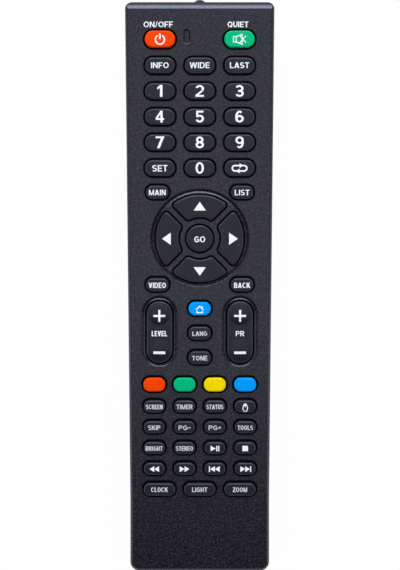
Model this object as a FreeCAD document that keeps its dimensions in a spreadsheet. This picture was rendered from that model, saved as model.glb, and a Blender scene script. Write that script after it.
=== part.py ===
import FreeCAD, Part
import math
import os
from types import SimpleNamespace

import Sketcher

# Television remote control. Z points up out of the keys, Y points to the head end with the
# infrared diode, X points to the right. The origin is on the flat back, in the middle.

# Driving sizes in millimetres, apart from the angle in degrees and the shares. A share places
# a row of keys along body_length, or spaces the columns across tail_width, so that the keypad
# keeps its place in the casing.
DRIVING_SIZES = {
    # Casing
    "body_length": 201.1,
    "head_width": 52.9,
    "tail_width": 49.05,
    "straight_tail": 26.4,
    "head_corner": 2.5,
    "tail_corner": 3.2,
    "head_round": 2.45,
    "head_slope_run": 2.6,
    "head_slope_drop": 0.75,
    "side_round": 1.3,
    "back_round": 2.2,
    "wall": 1.8,
    "face_thickness": 1.8,
    "back_thickness": 1.8,
    "parting_height": 10.5,
    "parting_gap": 0.25,
    "lip_thickness": 0.9,
    "lip_depth": 1.4,
    "fit_clearance": 0.15,
    # Sunk rims on the face
    "rim_depth": 0.6,
    "rim_width": 1.05,
    "cursor_rim_width": 1.3,
    # Keys. The corner share is a corner's radius against half the key's height.
    "key_gap": 0.65,
    "key_proud": 1.3,
    "key_round": 0.65,
    "key_corner_share": 0.95,
    "key_travel": 1.2,
    "flange_thickness": 0.8,
    "flange_rim": 0.9,
    "flange_clearance": 0.25,
    "web_clearance": 0.45,
    "contact_gap": 0.05,
    "stem_radius": 1.6,
    "pill_thickness": 0.4,
    "column_pitch_share": 0.28543,
    "digit_pitch_share": 0.0449,
    "digit_row_share": 0.38666,
    "digit_key_width": 10.5,
    "digit_key_height": 5.7,
    "power_row_share": 0.43275,
    "power_key_width": 10.7,
    "power_key_height": 6.0,
    "cursor_share": 0.08387,
    "cursor_outer": 15.4,
    "cursor_inner": 7.5,
    "cursor_spoke": 1.45,
    "cursor_corner": 1.1,
    "ok_radius": 4.7,
    "corner_key_x": 14.9,
    "corner_reach_share": 0.08089,
    "corner_key_width": 7.9,
    "corner_key_height": 4.7,
    "middle_row_share": -0.03905,
    "middle_pitch_share": 0.04287,
    "rocker_x": 14.2,
    "rocker_share": -0.08014,
    "rocker_width": 9.0,
    "rocker_length": 21.8,
    "rocker_angle": 4.0,
    "rocker_lug": 6.0,
    "rocker_dome_radius": 3.9,
    "rocker_dome_height": 0.5,
    "colour_row_share": -0.17198,
    "colour_pitch_share": 0.21733,
    "colour_key_width": 7.8,
    "colour_key_height": 4.9,
    "small_row_share": -0.21005,
    "small_pitch_share": 0.03634,
    "small_key_width": 7.4,
    "small_key_height": 4.35,
    "service_row_share": -0.3552,
    "service_pitch_share": 0.28848,
    "service_key_width": 11.0,
    "service_key_height": 4.5,
    # Indicator window and infrared diode
    "window_x": -4.55,
    "window_share": 0.43803,
    "window_width": 2.4,
    "window_length": 5.2,
    "window_sunk": 0.35,
    "diode_radius": 2.5,
    "diode_length": 8.7,
    "diode_proud": 2.4,
    "diode_foot": 0.4,
    "lead_spacing": 2.54,
    "lead_thickness": 0.5,
    # Keypad base and circuit board
    "mat_thickness": 1.0,
    "collar_height": 0.3,
    "collar_wall": 0.8,
    "stem_clearance": 0.6,
    "board_thickness": 1.6,
    "board_inset": 1.0,
    "board_clearance": 0.2,
    # Board screws and their bosses
    "boss_radius": 2.2,
    "screw_radius": 0.8,
    "screw_length": 4.2,
    "screw_head_radius": 1.8,
    "screw_head_height": 1.2,
    "cross_length": 2.2,
    "cross_width": 0.4,
    "middle_boss_inset": 2.9,
    "tail_boss_inset": 4.2,
    "tail_boss_share": -0.41,
    # Parts on the board
    "chip_width": 7.5,
    "chip_length": 18.0,
    "chip_height": 2.3,
    "chip_standoff": 0.15,
    "pin_pitch": 1.27,
    "pin_width": 0.4,
    "pin_reach": 1.3,
    "pin_thickness": 0.35,
    "resonator_width": 3.4,
    "resonator_length": 7.0,
    "resonator_height": 3.2,
    "resonator_x_share": -0.15,
    "capacitor_radius": 2.5,
    "capacitor_length": 11.0,
    "capacitor_x_share": 0.25,
    "tall_parts_share": 0.2675,
    "transistor_width": 3.0,
    "transistor_length": 1.3,
    "transistor_height": 1.1,
    "resistor_width": 1.3,
    "resistor_length": 2.0,
    "resistor_height": 0.6,
    "resistor_pitch": 3.4,
    "flat_parts_share": 0.335,
    "lamp_width": 1.6,
    "lamp_length": 3.2,
    "lamp_height": 1.3,
    # Cells and their bay
    "cell_radius": 5.25,
    "cell_length": 44.5,
    "cell_nub_radius": 1.9,
    "cell_nub_length": 0.8,
    "cell_spacing": 0.7,
    "cell_clearance": 0.3,
    "bay_wall": 1.0,
    "bay_roof": 0.8,
    "contact_thickness": 0.4,
    "contact_width": 8.4,
    "spring_length": 5.5,
    "spring_wire": 0.7,
    "spring_base_radius": 3.6,
    "spring_tip_radius": 1.9,
    "spring_turns": 4.0,
    # Battery door
    "door_margin": 1.8,
    "door_gap": 0.25,
    "door_overlap": 2.0,
    "tongue_reach": 1.0,
    "tongue_thickness": 0.65,
    "tongue_clearance": 0.15,
    "ledge_thickness": 1.0,
    "latch_width": 5.0,
    "latch_reach": 2.4,
    "grip_width": 14.0,
    "grip_depth": 0.5,
    "grip_pitch": 2.4,
}

# How many there are of some repeated details
PIN_PAIR_COUNT = 14
RESISTOR_COUNT = 4
GROOVE_COUNT = 5
FIRST_GROOVE = 2

# How close two readings of one edge's height may be, and of its place in the plan
CLOSE = 0.001
EDGE_TOLERANCE = 0.01

# How finely a spring is looked over for turns that come close
SPRING_SAMPLE_COUNT = 400
NEAR_SAMPLE_COUNT = 60

doc = FreeCAD.newDocument("tv_remote_control")
sheet = doc.addObject("Spreadsheet::Sheet", "sizes")
for row, (alias, number) in enumerate(DRIVING_SIZES.items(), start=1):
    sheet.set(f"A{row}", alias)
    sheet.set(f"B{row}", str(number))
    sheet.setAlias(f"B{row}", alias)
doc.recompute()


class Size:
    """A formula over the sheet's sizes, with the number that it gives now."""

    def __init__(self, text, number):
        self.text = text
        self.number = number

    @staticmethod
    def of(thing):
        return thing if isinstance(thing, Size) else Size(str(thing), float(thing))

    def join(self, sign, other, number):
        return Size(f"({self.text} {sign} {other.text})", number)

    def __add__(self, other):
        other = Size.of(other)
        return self.join("+", other, self.number + other.number)

    def __sub__(self, other):
        other = Size.of(other)
        return self.join("-", other, self.number - other.number)

    def __mul__(self, other):
        other = Size.of(other)
        return self.join("*", other, self.number * other.number)

    def __truediv__(self, other):
        other = Size.of(other)
        return self.join("/", other, self.number / other.number)

    def __neg__(self):
        return Size(f"(0 - {self.text})", -self.number)

    def root(self):
        return Size(f"sqrt({self.text})", math.sqrt(self.number))


S = SimpleNamespace(**{a: Size(f"sizes.{a}", float(sheet.get(a))) for a in DRIVING_SIZES})
ZERO = Size.of(0)

# Heights, worked out from the back upwards
cell_z = S.back_thickness + S.cell_clearance + S.cell_radius
roof_low = cell_z + S.cell_radius + S.cell_clearance
roof_top = roof_low + S.bay_roof
board_low = roof_top + S.board_clearance
board_top = board_low + S.board_thickness
mat_top = board_top + S.mat_thickness
collar_top = mat_top + S.collar_height
flange_low = mat_top + S.web_clearance + S.key_travel
flange_top = flange_low + S.flange_thickness
face_under = flange_top + S.flange_clearance
face_top = face_under + S.face_thickness
key_top = face_top + S.key_proud
pill_low = board_top + S.key_travel + S.contact_gap
rear_top = S.parting_height - S.parting_gap / 2
front_low = S.parting_height + S.parting_gap / 2

# Places of the keys
column_pitch = S.tail_width * S.column_pitch_share
colour_pitch = S.tail_width * S.colour_pitch_share
service_pitch = S.tail_width * S.service_pitch_share
power_row_y = S.body_length * S.power_row_share
digit_row_y = S.body_length * S.digit_row_share
digit_pitch = S.body_length * S.digit_pitch_share
cursor_y = S.body_length * S.cursor_share
corner_reach = S.body_length * S.corner_reach_share
middle_row_y = S.body_length * S.middle_row_share
middle_pitch = S.body_length * S.middle_pitch_share
rocker_y = S.body_length * S.rocker_share
colour_row_y = S.body_length * S.colour_row_share
small_row_y = S.body_length * S.small_row_share
small_pitch = S.body_length * S.small_pitch_share
service_row_y = S.body_length * S.service_row_share
window_y = S.body_length * S.window_share

# Lengths along the battery bay, worked out from the tail end
tail_inside = S.wall - S.body_length / 2
head_inside = S.body_length / 2 - S.wall
bay_start = tail_inside + S.bay_wall
bay_end = bay_start + S.contact_thickness * 2 + S.spring_length + S.cell_length
bay_half = S.cell_radius * 2 + S.cell_spacing / 2 + S.cell_clearance
cell_x = S.cell_radius + S.cell_spacing / 2
door_end = bay_end + S.bay_wall + S.door_overlap
door_half = bay_half + S.bay_wall + S.door_margin
tongue_half = door_half + S.tongue_reach
tongue_low = S.back_thickness + S.tongue_clearance
tongue_top = tongue_low + S.tongue_thickness
ledge_low = tongue_top + S.tongue_clearance
ledge_top = ledge_low + S.ledge_thickness
rib_in = tongue_half + S.door_gap
rib_out = rib_in + S.bay_wall


def bind(thing, path, size):
    """Binds one property to the sheet."""
    thing.setExpression(path, Size.of(size).text)


def place(thing, x=ZERO, y=ZERO, z=ZERO):
    """Binds where a thing stands to the sheet."""
    for letter, size in (("x", x), ("y", y), ("z", z)):
        bind(thing, f"Placement.Base.{letter}", size)
    return thing


# Part primitives


def box(name, x_span, y_span, z_span):
    """A box between two formulas each way."""
    made = doc.addObject("Part::Box", name)
    for path, (low, high) in (("Length", x_span), ("Width", y_span), ("Height", z_span)):
        bind(made, path, Size.of(high) - low)
    return place(made, x_span[0], y_span[0], z_span[0])


def around(middle, size):
    """The span of a size about its middle."""
    return middle - size / 2, middle + size / 2


def mirrored_boxes(name, x_span, y_span, z_span):
    """Two boxes, one each side of the middle plane."""
    inner, outer = x_span
    return [
        box(f"{name}_right", (inner, outer), y_span, z_span),
        box(f"{name}_left", (-outer, -inner), y_span, z_span),
    ]


def cylinder(name, radius, x, y, low, high):
    """An upright cylinder."""
    made = doc.addObject("Part::Cylinder", name)
    bind(made, "Radius", radius)
    bind(made, "Height", Size.of(high) - low)
    return place(made, x, y, low)


def lying_cylinder(name, radius, x, z, y_low, y_high):
    """A cylinder along Y."""
    made = doc.addObject("Part::Cylinder", name)
    bind(made, "Radius", radius)
    bind(made, "Height", Size.of(y_high) - y_low)
    made.Placement.Rotation = FreeCAD.Rotation(FreeCAD.Vector(1, 0, 0), -90)
    return place(made, x, y_low, z)


def cut(name, base, tools):
    made = doc.addObject("Part::Cut", name)
    made.Base = base
    made.Tool = tools[0] if len(tools) == 1 else group(f"{name}_tools", tools)
    return made


def fuse(name, things):
    made = doc.addObject("Part::MultiFuse", name)
    made.Shapes = things
    return made


def common(name, things):
    made = doc.addObject("Part::MultiCommon", name)
    made.Shapes = things
    return made


def group(name, things):
    made = doc.addObject("Part::Compound", name)
    made.Links = things
    return made


def rounded(name, base, radii_of_edge):
    """Rounds the edges for which radii_of_edge gives a start and an end radius."""
    doc.recompute()
    made = doc.addObject("Part::Fillet", name)
    made.Base = base
    chosen = []
    for number, edge in enumerate(base.Shape.Edges, start=1):
        radii = radii_of_edge(edge)
        if radii:
            chosen.append((number, *radii))
    made.Edges = chosen
    return made


# Sketches


def datum(sketch, kind, items, size):
    """Adds a dimension and binds it to the sheet."""
    number = sketch.addConstraint(Sketcher.Constraint(kind, *items, Size.of(size).number))
    bind(sketch, f"Constraints[{number}]", size)


def point(x, y):
    return FreeCAD.Vector(Size.of(x).number, Size.of(y).number, 0)


def draw_polygon(sketch, corners):
    """A closed outline of straight lines, each corner bound to the sheet."""
    first = sketch.GeometryCount
    count = len(corners)
    for number, corner in enumerate(corners):
        after = corners[(number + 1) % count]
        sketch.addGeometry(Part.LineSegment(point(*corner), point(*after)))
    for number in range(count):
        after = first + (number + 1) % count
        sketch.addConstraint(Sketcher.Constraint("Coincident", first + number, 2, after, 1))
    for number, (x, y) in enumerate(corners):
        datum(sketch, "DistanceX", (-1, 1, first + number, 1), x)
        datum(sketch, "DistanceY", (-1, 1, first + number, 1), y)


def draw_slot(sketch, width, height):
    """A slot with full round ends about the sketch's origin, longer along X."""
    radius = Size.of(height) / 2
    reach = (Size.of(width) - height) / 2
    up = FreeCAD.Vector(0, 0, 1)
    quarter = math.pi / 2
    left = Part.Circle(point(-reach, 0), up, radius.number)
    right = Part.Circle(point(reach, 0), up, radius.number)
    sketch.addGeometry(Part.ArcOfCircle(left, quarter, 3 * quarter))
    sketch.addGeometry(Part.ArcOfCircle(right, -quarter, quarter))
    sketch.addGeometry(Part.LineSegment(point(-reach, -radius), point(reach, -radius)))
    sketch.addGeometry(Part.LineSegment(point(reach, radius), point(-reach, radius)))
    for ends in ((0, 2, 2, 1), (2, 2, 1, 1), (1, 2, 3, 1), (3, 2, 0, 1)):
        sketch.addConstraint(Sketcher.Constraint("Tangent", *ends))
    sketch.addConstraint(Sketcher.Constraint("Equal", 0, 1))
    sketch.addConstraint(Sketcher.Constraint("Symmetric", 0, 3, 1, 3, -1, 1))
    sketch.addConstraint(Sketcher.Constraint("Horizontal", 0, 3, 1, 3))
    datum(sketch, "Radius", (0,), radius)
    datum(sketch, "DistanceX", (0, 3, 1, 3), reach * 2)


def draw_key(sketch, width, height, grow):
    """A key's plan about the sketch's origin, grown by a margin: its corners nearly meet."""
    radius = Size.of(height) / 2 * S.key_corner_share + grow
    reach_x = Size.of(width) / 2 + grow - radius
    reach_y = Size.of(height) / 2 + grow - radius
    up = FreeCAD.Vector(0, 0, 1)
    quarter = math.pi / 2
    corners = [(reach_x, reach_y), (-reach_x, reach_y), (-reach_x, -reach_y), (reach_x, -reach_y)]
    for number, middle in enumerate(corners):
        ring = Part.Circle(point(*middle), up, radius.number)
        arc = Part.ArcOfCircle(ring, quarter * number, quarter * (number + 1))
        sketch.addGeometry(arc)
    arcs = list(sketch.Geometry)
    for number, arc in enumerate(arcs):
        after = (number + 1) % len(arcs)
        sketch.addGeometry(Part.LineSegment(arc.EndPoint, arcs[after].StartPoint))
        line = len(arcs) + number
        sketch.addConstraint(Sketcher.Constraint("Tangent", number, 2, line, 1))
        sketch.addConstraint(Sketcher.Constraint("Tangent", line, 2, after, 1))
    for number, (x, y) in enumerate(corners):
        datum(sketch, "DistanceX", (-1, 1, number, 3), x)
        datum(sketch, "DistanceY", (-1, 1, number, 3), y)
        if number:
            sketch.addConstraint(Sketcher.Constraint("Equal", 0, number))
    datum(sketch, "Radius", (0,), radius)


def draw_circle(sketch, radius):
    sketch.addGeometry(
        Part.Circle(FreeCAD.Vector(), FreeCAD.Vector(0, 0, 1), Size.of(radius).number)
    )
    sketch.addConstraint(Sketcher.Constraint("Coincident", 0, 3, -1, 1))
    datum(sketch, "Radius", (0,), radius)


def draw_sector(sketch, inner, outer, spoke):
    """A quarter of a ring about the origin, round +Y, set back from its two diagonals."""

    def corner(radius):
        along = (radius * radius - spoke * spoke).root()
        half = Size.of(0.5).root()
        return (along - spoke) * half, (along + spoke) * half

    up = FreeCAD.Vector(0, 0, 1)
    for number, radius in enumerate((outer, inner)):
        x, y = corner(radius)
        start = math.atan2(y.number, x.number)
        ring = Part.Circle(FreeCAD.Vector(), up, radius.number)
        sketch.addGeometry(Part.ArcOfCircle(ring, start, math.pi - start))
        sketch.addConstraint(Sketcher.Constraint("Coincident", number, 3, -1, 1))
        datum(sketch, "Radius", (number,), radius)
        datum(sketch, "DistanceX", (-1, 1, number, 1), x)
        datum(sketch, "DistanceX", (number, 2, -1, 1), x)
    (outer_x, outer_y), (inner_x, inner_y) = corner(outer), corner(inner)
    sketch.addGeometry(Part.LineSegment(point(outer_x, outer_y), point(inner_x, inner_y)))
    sketch.addGeometry(Part.LineSegment(point(-outer_x, outer_y), point(-inner_x, inner_y)))
    for ends in ((0, 1, 2, 1), (1, 1, 2, 2), (0, 2, 3, 1), (1, 2, 3, 2)):
        sketch.addConstraint(Sketcher.Constraint("Coincident", *ends))


def new_body(name):
    return doc.addObject("PartDesign::Body", name)


def add_pad(body, name, draw, low, high):
    """Pads what draw puts into a new sketch, between two heights of the body."""
    sketch = body.newObject("Sketcher::SketchObject", f"{name}_sketch")
    plane = next(p for p in body.Origin.OriginFeatures if p.Role == "XY_Plane")
    sketch.AttachmentSupport = [(plane, "")]
    sketch.MapMode = "FlatFace"
    bind(sketch, "AttachmentOffset.Base.z", low)
    draw(sketch)
    made = body.newObject("PartDesign::Pad", f"{name}_pad")
    made.Profile = sketch
    bind(made, "Length", Size.of(high) - low)
    return made


def add_fillet(body, name, feature, wanted, radius):
    """Rounds the feature's edges for which wanted says yes."""
    doc.recompute()
    edges = feature.Shape.Edges
    names = [f"Edge{number}" for number, edge in enumerate(edges, start=1) if wanted(edge)]
    made = body.newObject("PartDesign::Fillet", f"{name}_fillet")
    made.Base = (feature, names)
    bind(made, "Radius", radius)
    return made


def extruded(name, draw, low, high, x=ZERO, y=ZERO):
    """A prism of a sketch, between two heights, standing at x, y."""
    sketch = doc.addObject("Sketcher::SketchObject", f"{name}_sketch")
    draw(sketch)
    place(sketch, x, y, low)
    made = doc.addObject("Part::Extrusion", name)
    made.Base = sketch
    made.DirMode = "Normal"
    made.Solid = True
    bind(made, "LengthFwd", Size.of(high) - low)
    return made


def on_level(edge, height):
    """Whether an edge lies flat at a height."""
    spans = edge.BoundBox
    return abs(spans.ZMin - height) < CLOSE and abs(spans.ZMax - height) < CLOSE


def upright(edge):
    """Whether an edge is a straight upright line."""
    ends = [vertex.Point for vertex in edge.Vertexes]
    if len(ends) < 2 or not isinstance(edge.Curve, Part.Line):
        return False
    return (ends[0] - ends[1]).cross(FreeCAD.Vector(0, 0, 1)).Length < CLOSE


# Casing outline, seen from above


def outline(inset):
    """Corner points of the casing's plan, moved in by inset."""
    head = (S.head_width / 2 - inset, S.body_length / 2 - inset)
    knee = (S.tail_width / 2 - inset, S.straight_tail - S.body_length / 2)
    tail = (S.tail_width / 2 - inset, Size.of(inset) - S.body_length / 2)
    right = [tail, knee, head]
    return right + [(-x, y) for x, y in reversed(right)]


def casing_block(name, low, high):
    """The casing's plan between two heights, with its upright corners rounded."""
    body = new_body(f"{name}_block")
    add_pad(body, name, lambda sketch: draw_polygon(sketch, outline(ZERO)), low, high)

    def corner_radius(edge):
        if not upright(edge):
            return None
        y = edge.CenterOfMass.y
        if abs(abs(y) - S.body_length.number / 2) > EDGE_TOLERANCE:
            return None
        size = S.head_corner if y > 0 else S.tail_corner
        return size.number, size.number

    return rounded(f"{name}_corners", body, corner_radius)


# Keys: name, place, kind of outline and its size

DIGIT_ROWS = (
    ("info_key", "mode_key", "recall_key"),
    ("digit_1_key", "digit_2_key", "digit_3_key"),
    ("digit_4_key", "digit_5_key", "digit_6_key"),
    ("digit_7_key", "digit_8_key", "digit_9_key"),
    ("set_key", "digit_0_key", "swap_key"),
)
SMALL_ROWS = (
    ("screen_key", "timer_key", "status_key", "pointer_key"),
    ("skip_key", "page_back_key", "page_next_key", "tools_key"),
    ("bright_key", "stereo_key", "play_pause_key", "stop_key"),
)
COLOUR_ROW = ("red_key", "green_key", "yellow_key", "blue_key")
MIDDLE_COLUMN = ("home_key", "language_key", "sound_key")
CURSOR_PADS = {"up_key": 0, "left_key": 90, "down_key": 180, "right_key": 270}
ROCKERS = {"volume_rocker": -S.rocker_x, "channel_rocker": S.rocker_x}


def spread(count, pitch):
    """Places of a centred row."""
    return [pitch * (number - (count - 1) / 2) for number in range(count)]


def slot_keys():
    """Every slot-shaped key: name, x, y, width and height."""
    power = (S.power_key_width, S.power_key_height)
    digit = (S.digit_key_width, S.digit_key_height)
    corner = (S.corner_key_width, S.corner_key_height)
    small = (S.small_key_width, S.small_key_height)
    keys = [
        ("power_key", -column_pitch, power_row_y, *power),
        ("mute_key", column_pitch, power_row_y, *power),
        ("menu_key", -S.corner_key_x, cursor_y + corner_reach, *corner),
        ("channels_key", S.corner_key_x, cursor_y + corner_reach, *corner),
        ("video_key", -S.corner_key_x, cursor_y - corner_reach, *corner),
        ("back_key", S.corner_key_x, cursor_y - corner_reach, *corner),
    ]
    for row, names in enumerate(DIGIT_ROWS):
        y = digit_row_y - digit_pitch * row
        for name, x in zip(names, spread(3, column_pitch)):
            keys.append((name, x, y, *digit))
    for row, name in enumerate(MIDDLE_COLUMN):
        keys.append((name, ZERO, middle_row_y - middle_pitch * row, *corner))
    for name, x in zip(COLOUR_ROW, spread(4, colour_pitch)):
        keys.append((name, x, colour_row_y, S.colour_key_width, S.colour_key_height))
    for row, names in enumerate(SMALL_ROWS):
        y = small_row_y - small_pitch * row
        for name, x in zip(names, spread(4, colour_pitch)):
            keys.append((name, x, y, *small))
    return keys


def joined_row_keys():
    """The two rows whose keys share a node: node name, then the keys' places and size."""
    playback_y = small_row_y - small_pitch * len(SMALL_ROWS)
    return {
        "playback_keys": [
            (x, playback_y, S.small_key_width, S.small_key_height)
            for x in spread(4, colour_pitch)
        ],
        "service_keys": [
            (x, service_row_y, S.service_key_width, S.service_key_height)
            for x in spread(3, service_pitch)
        ],
    }


def key_pill(name, x, y, radius, low):
    return cylinder(f"{name}_pill", radius, x, y, low, low + S.pill_thickness)


def slot_key(name, x, y, width, height):
    """A key cap with its flange and stem, and the carbon pill under it."""
    body = new_body(f"{name}_body")
    add_pad(
        body, f"{name}_flange",
        lambda sketch: draw_key(sketch, width, height, S.flange_rim), flange_low, flange_top,
    )
    stem_low = pill_low + S.pill_thickness
    add_pad(
        body, f"{name}_stem",
        lambda sketch: draw_circle(sketch, S.stem_radius), stem_low, flange_low,
    )
    cap = add_pad(
        body, f"{name}_cap",
        lambda sketch: draw_key(sketch, width, height, ZERO), flange_top, key_top,
    )
    top = key_top.number
    add_fillet(body, name, cap, lambda edge: on_level(edge, top), S.key_round)
    place(body, x, y)
    return [body, key_pill(name, x, y, S.stem_radius, pill_low)]


def ok_key():
    """The round centre key."""
    body = new_body("ok_key_body")
    flange = S.ok_radius + S.flange_rim
    add_pad(body, "ok_flange", lambda s: draw_circle(s, flange), flange_low, flange_top)
    stem_low = pill_low + S.pill_thickness
    add_pad(body, "ok_stem", lambda s: draw_circle(s, S.stem_radius), stem_low, flange_low)
    cap = add_pad(body, "ok_cap", lambda s: draw_circle(s, S.ok_radius), flange_top, key_top)
    top = key_top.number
    add_fillet(body, "ok", cap, lambda edge: on_level(edge, top), S.key_round)
    place(body, ZERO, cursor_y)
    return group("ok_key", [body, key_pill("ok", ZERO, cursor_y, S.stem_radius, pill_low)])


cursor_stem_reach = (S.cursor_inner + S.cursor_outer) / 2


def turned(angle):
    """The point at the cursor stems' reach, at an angle from +Y about the cursor's middle."""
    x_share, y_share = {0: (0, 1), 90: (-1, 0), 180: (0, -1), 270: (1, 0)}[angle]
    return cursor_stem_reach * x_share, cursor_y + cursor_stem_reach * y_share


def sector_corners(edge):
    """The upright edges of a cursor pad's cap, above its flange."""
    return upright(edge) and edge.BoundBox.ZMax > flange_top.number + EDGE_TOLERANCE


def cursor_pad(name, angle):
    """One of the four pads round the centre key."""
    body = new_body(f"{name}_body")
    rim = S.flange_rim
    add_pad(
        body, f"{name}_flange",
        lambda s: draw_sector(s, S.cursor_inner - rim, S.cursor_outer + rim, S.cursor_spoke - rim),
        flange_low, flange_top,
    )
    cap = add_pad(
        body, f"{name}_cap",
        lambda s: draw_sector(s, S.cursor_inner, S.cursor_outer, S.cursor_spoke),
        flange_top, key_top,
    )
    sides = add_fillet(body, f"{name}_sides", cap, sector_corners, S.cursor_corner)
    top = key_top.number
    add_fillet(body, name, sides, lambda edge: on_level(edge, top), S.key_round)
    body.Placement.Rotation = FreeCAD.Rotation(FreeCAD.Vector(0, 0, 1), angle)
    place(body, ZERO, cursor_y)
    x, y = turned(angle)
    stem_low = pill_low + S.pill_thickness
    stem = cylinder(f"{name}_stem", S.stem_radius, x, y, stem_low, flange_low + S.contact_gap)
    whole = fuse(f"{name}_whole", [body, stem])
    return group(name, [whole, key_pill(name, x, y, S.stem_radius, pill_low)])


# The rocker's pills sit low enough to meet the board when it is tilted to its stop
tilt = Size(f"sin({S.rocker_angle.text})", math.sin(math.radians(S.rocker_angle.number)))
rocker_stem_y = (S.rocker_length - S.rocker_width) / 2 + S.stem_radius
rocker_pill_low = board_top + (rocker_stem_y + S.stem_radius) * tilt + S.contact_gap
rocker_top = key_top - S.rocker_dome_height
rocker_dome_y = (S.rocker_length - S.rocker_width) / 2


def dome(name, x, y):
    """A shallow round rise on a rocker's top."""
    rise = S.rocker_dome_height
    reach = S.rocker_dome_radius
    radius = (reach * reach + rise * rise) / (rise * 2)
    ball = doc.addObject("Part::Sphere", f"{name}_ball")
    bind(ball, "Radius", radius)
    place(ball, x, y, key_top - radius)
    low = rocker_top - S.key_round / 2
    post = cylinder(f"{name}_post", reach, x, y, low, key_top + rise)
    return common(name, [ball, post])


def rocker_key(name, x):
    """A long key that tilts about its middle, with a rise, a stem and a pill at each end."""
    body = new_body(f"{name}_body")
    cap = add_pad(
        body, f"{name}_cap",
        lambda s: draw_slot(s, S.rocker_length, S.rocker_width), flange_low, rocker_top,
    )
    top = rocker_top.number
    add_fillet(body, name, cap, lambda edge: on_level(edge, top), S.key_round)
    body.Placement.Rotation = FreeCAD.Rotation(FreeCAD.Vector(0, 0, 1), 90)
    place(body, x, rocker_y)
    half_lug = S.rocker_width / 2 + S.flange_rim
    lug = box(
        f"{name}_lug", (x - half_lug, x + half_lug),
        (rocker_y - S.rocker_lug / 2, rocker_y + S.rocker_lug / 2), (flange_low, flange_top),
    )
    pieces = [body, lug]
    pills = []
    for end, side in (("plus", 1), ("minus", -1)):
        y = rocker_y + rocker_stem_y * side
        stem_low = rocker_pill_low + S.pill_thickness
        stem_high = flange_low + S.flange_thickness / 2
        pieces.append(
            cylinder(f"{name}_{end}_stem", S.stem_radius, x, y, stem_low, stem_high)
        )
        pieces.append(dome(f"{name}_{end}_dome", x, rocker_y + rocker_dome_y * side))
        pills.append(key_pill(f"{name}_{end}", x, y, S.stem_radius, rocker_pill_low))
    return group(name, [fuse(f"{name}_whole", pieces), *pills])


def stem_places():
    """The middle of every stem: name, x, y."""
    places = [(name, x, y) for name, x, y, _, _ in slot_keys()]
    for node, keys in joined_row_keys().items():
        places += [(f"{node}_{number}", x, y) for number, (x, y, _, _) in enumerate(keys)]
    places.append(("ok_key", ZERO, cursor_y))
    places += [(name, *turned(angle)) for name, angle in CURSOR_PADS.items()]
    for name, x in ROCKERS.items():
        for end, side in (("plus", 1), ("minus", -1)):
            places.append((f"{name}_{end}", x, rocker_y + rocker_stem_y * side))
    return places


def half_width(y):
    """Half the casing's width in its tapered length."""
    slope = (S.head_width - S.tail_width) / 2 / (S.body_length - S.straight_tail)
    return S.tail_width / 2 + slope * (y + S.body_length / 2 - S.straight_tail)


def boss_places():
    """The middle of every board screw: name, x, y."""
    middle_x = half_width(cursor_y) - S.wall - S.middle_boss_inset
    tail_x = S.tail_width / 2 - S.wall - S.tail_boss_inset
    tail_y = S.body_length * S.tail_boss_share
    return [
        ("right_middle", middle_x, cursor_y),
        ("left_middle", -middle_x, cursor_y),
        ("right_tail", tail_x, tail_y),
        ("left_tail", -tail_x, tail_y),
    ]


# Front cover

rim_clear = S.key_gap + S.rim_width


def opening(name, draw, x, y):
    """A prism that opens the face for a key."""
    return extruded(f"{name}_opening", draw, face_under - S.wall, face_top + S.wall, x, y)


def key_opening(name, x, y, width, height):
    return opening(name, lambda s: draw_key(s, width, height, S.key_gap), x, y)


def sector_opening(name, angle):
    """The opening of a cursor pad, with the pad's rounded corners."""
    body = new_body(f"{name}_opening")
    gap = S.key_gap
    prism = add_pad(
        body, f"{name}_opening",
        lambda s: draw_sector(s, S.cursor_inner - gap, S.cursor_outer + gap, S.cursor_spoke - gap),
        face_under - S.wall, face_top + S.wall,
    )
    add_fillet(body, f"{name}_opening", prism, upright, S.cursor_corner + gap)
    body.Placement.Rotation = FreeCAD.Rotation(FreeCAD.Vector(0, 0, 1), angle)
    return place(body, ZERO, cursor_y)


def cone(name, low_radius, high_radius, x, y, low, high):
    made = doc.addObject("Part::Cone", name)
    bind(made, "Radius1", low_radius)
    bind(made, "Radius2", high_radius)
    bind(made, "Height", high - low)
    return place(made, x, y, low)


def cursor_rim():
    """The sunk ring round the cursor: a steep outer wall and a floor that climbs inwards."""
    outer = S.cursor_outer + S.key_gap + S.cursor_rim_width
    inner = S.cursor_outer + S.key_gap / 2
    low = face_top - S.rim_depth
    disc = cylinder("cursor_rim_disc", outer, ZERO, cursor_y, low, face_top + S.wall)
    island = cone("cursor_rim_island", outer, inner, ZERO, cursor_y, low, face_top)
    column = cylinder("cursor_rim_column", inner, ZERO, cursor_y, face_top, face_top + S.wall)
    return cut("cursor_rim", disc, [fuse("cursor_rim_middle", [island, column])])


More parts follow.
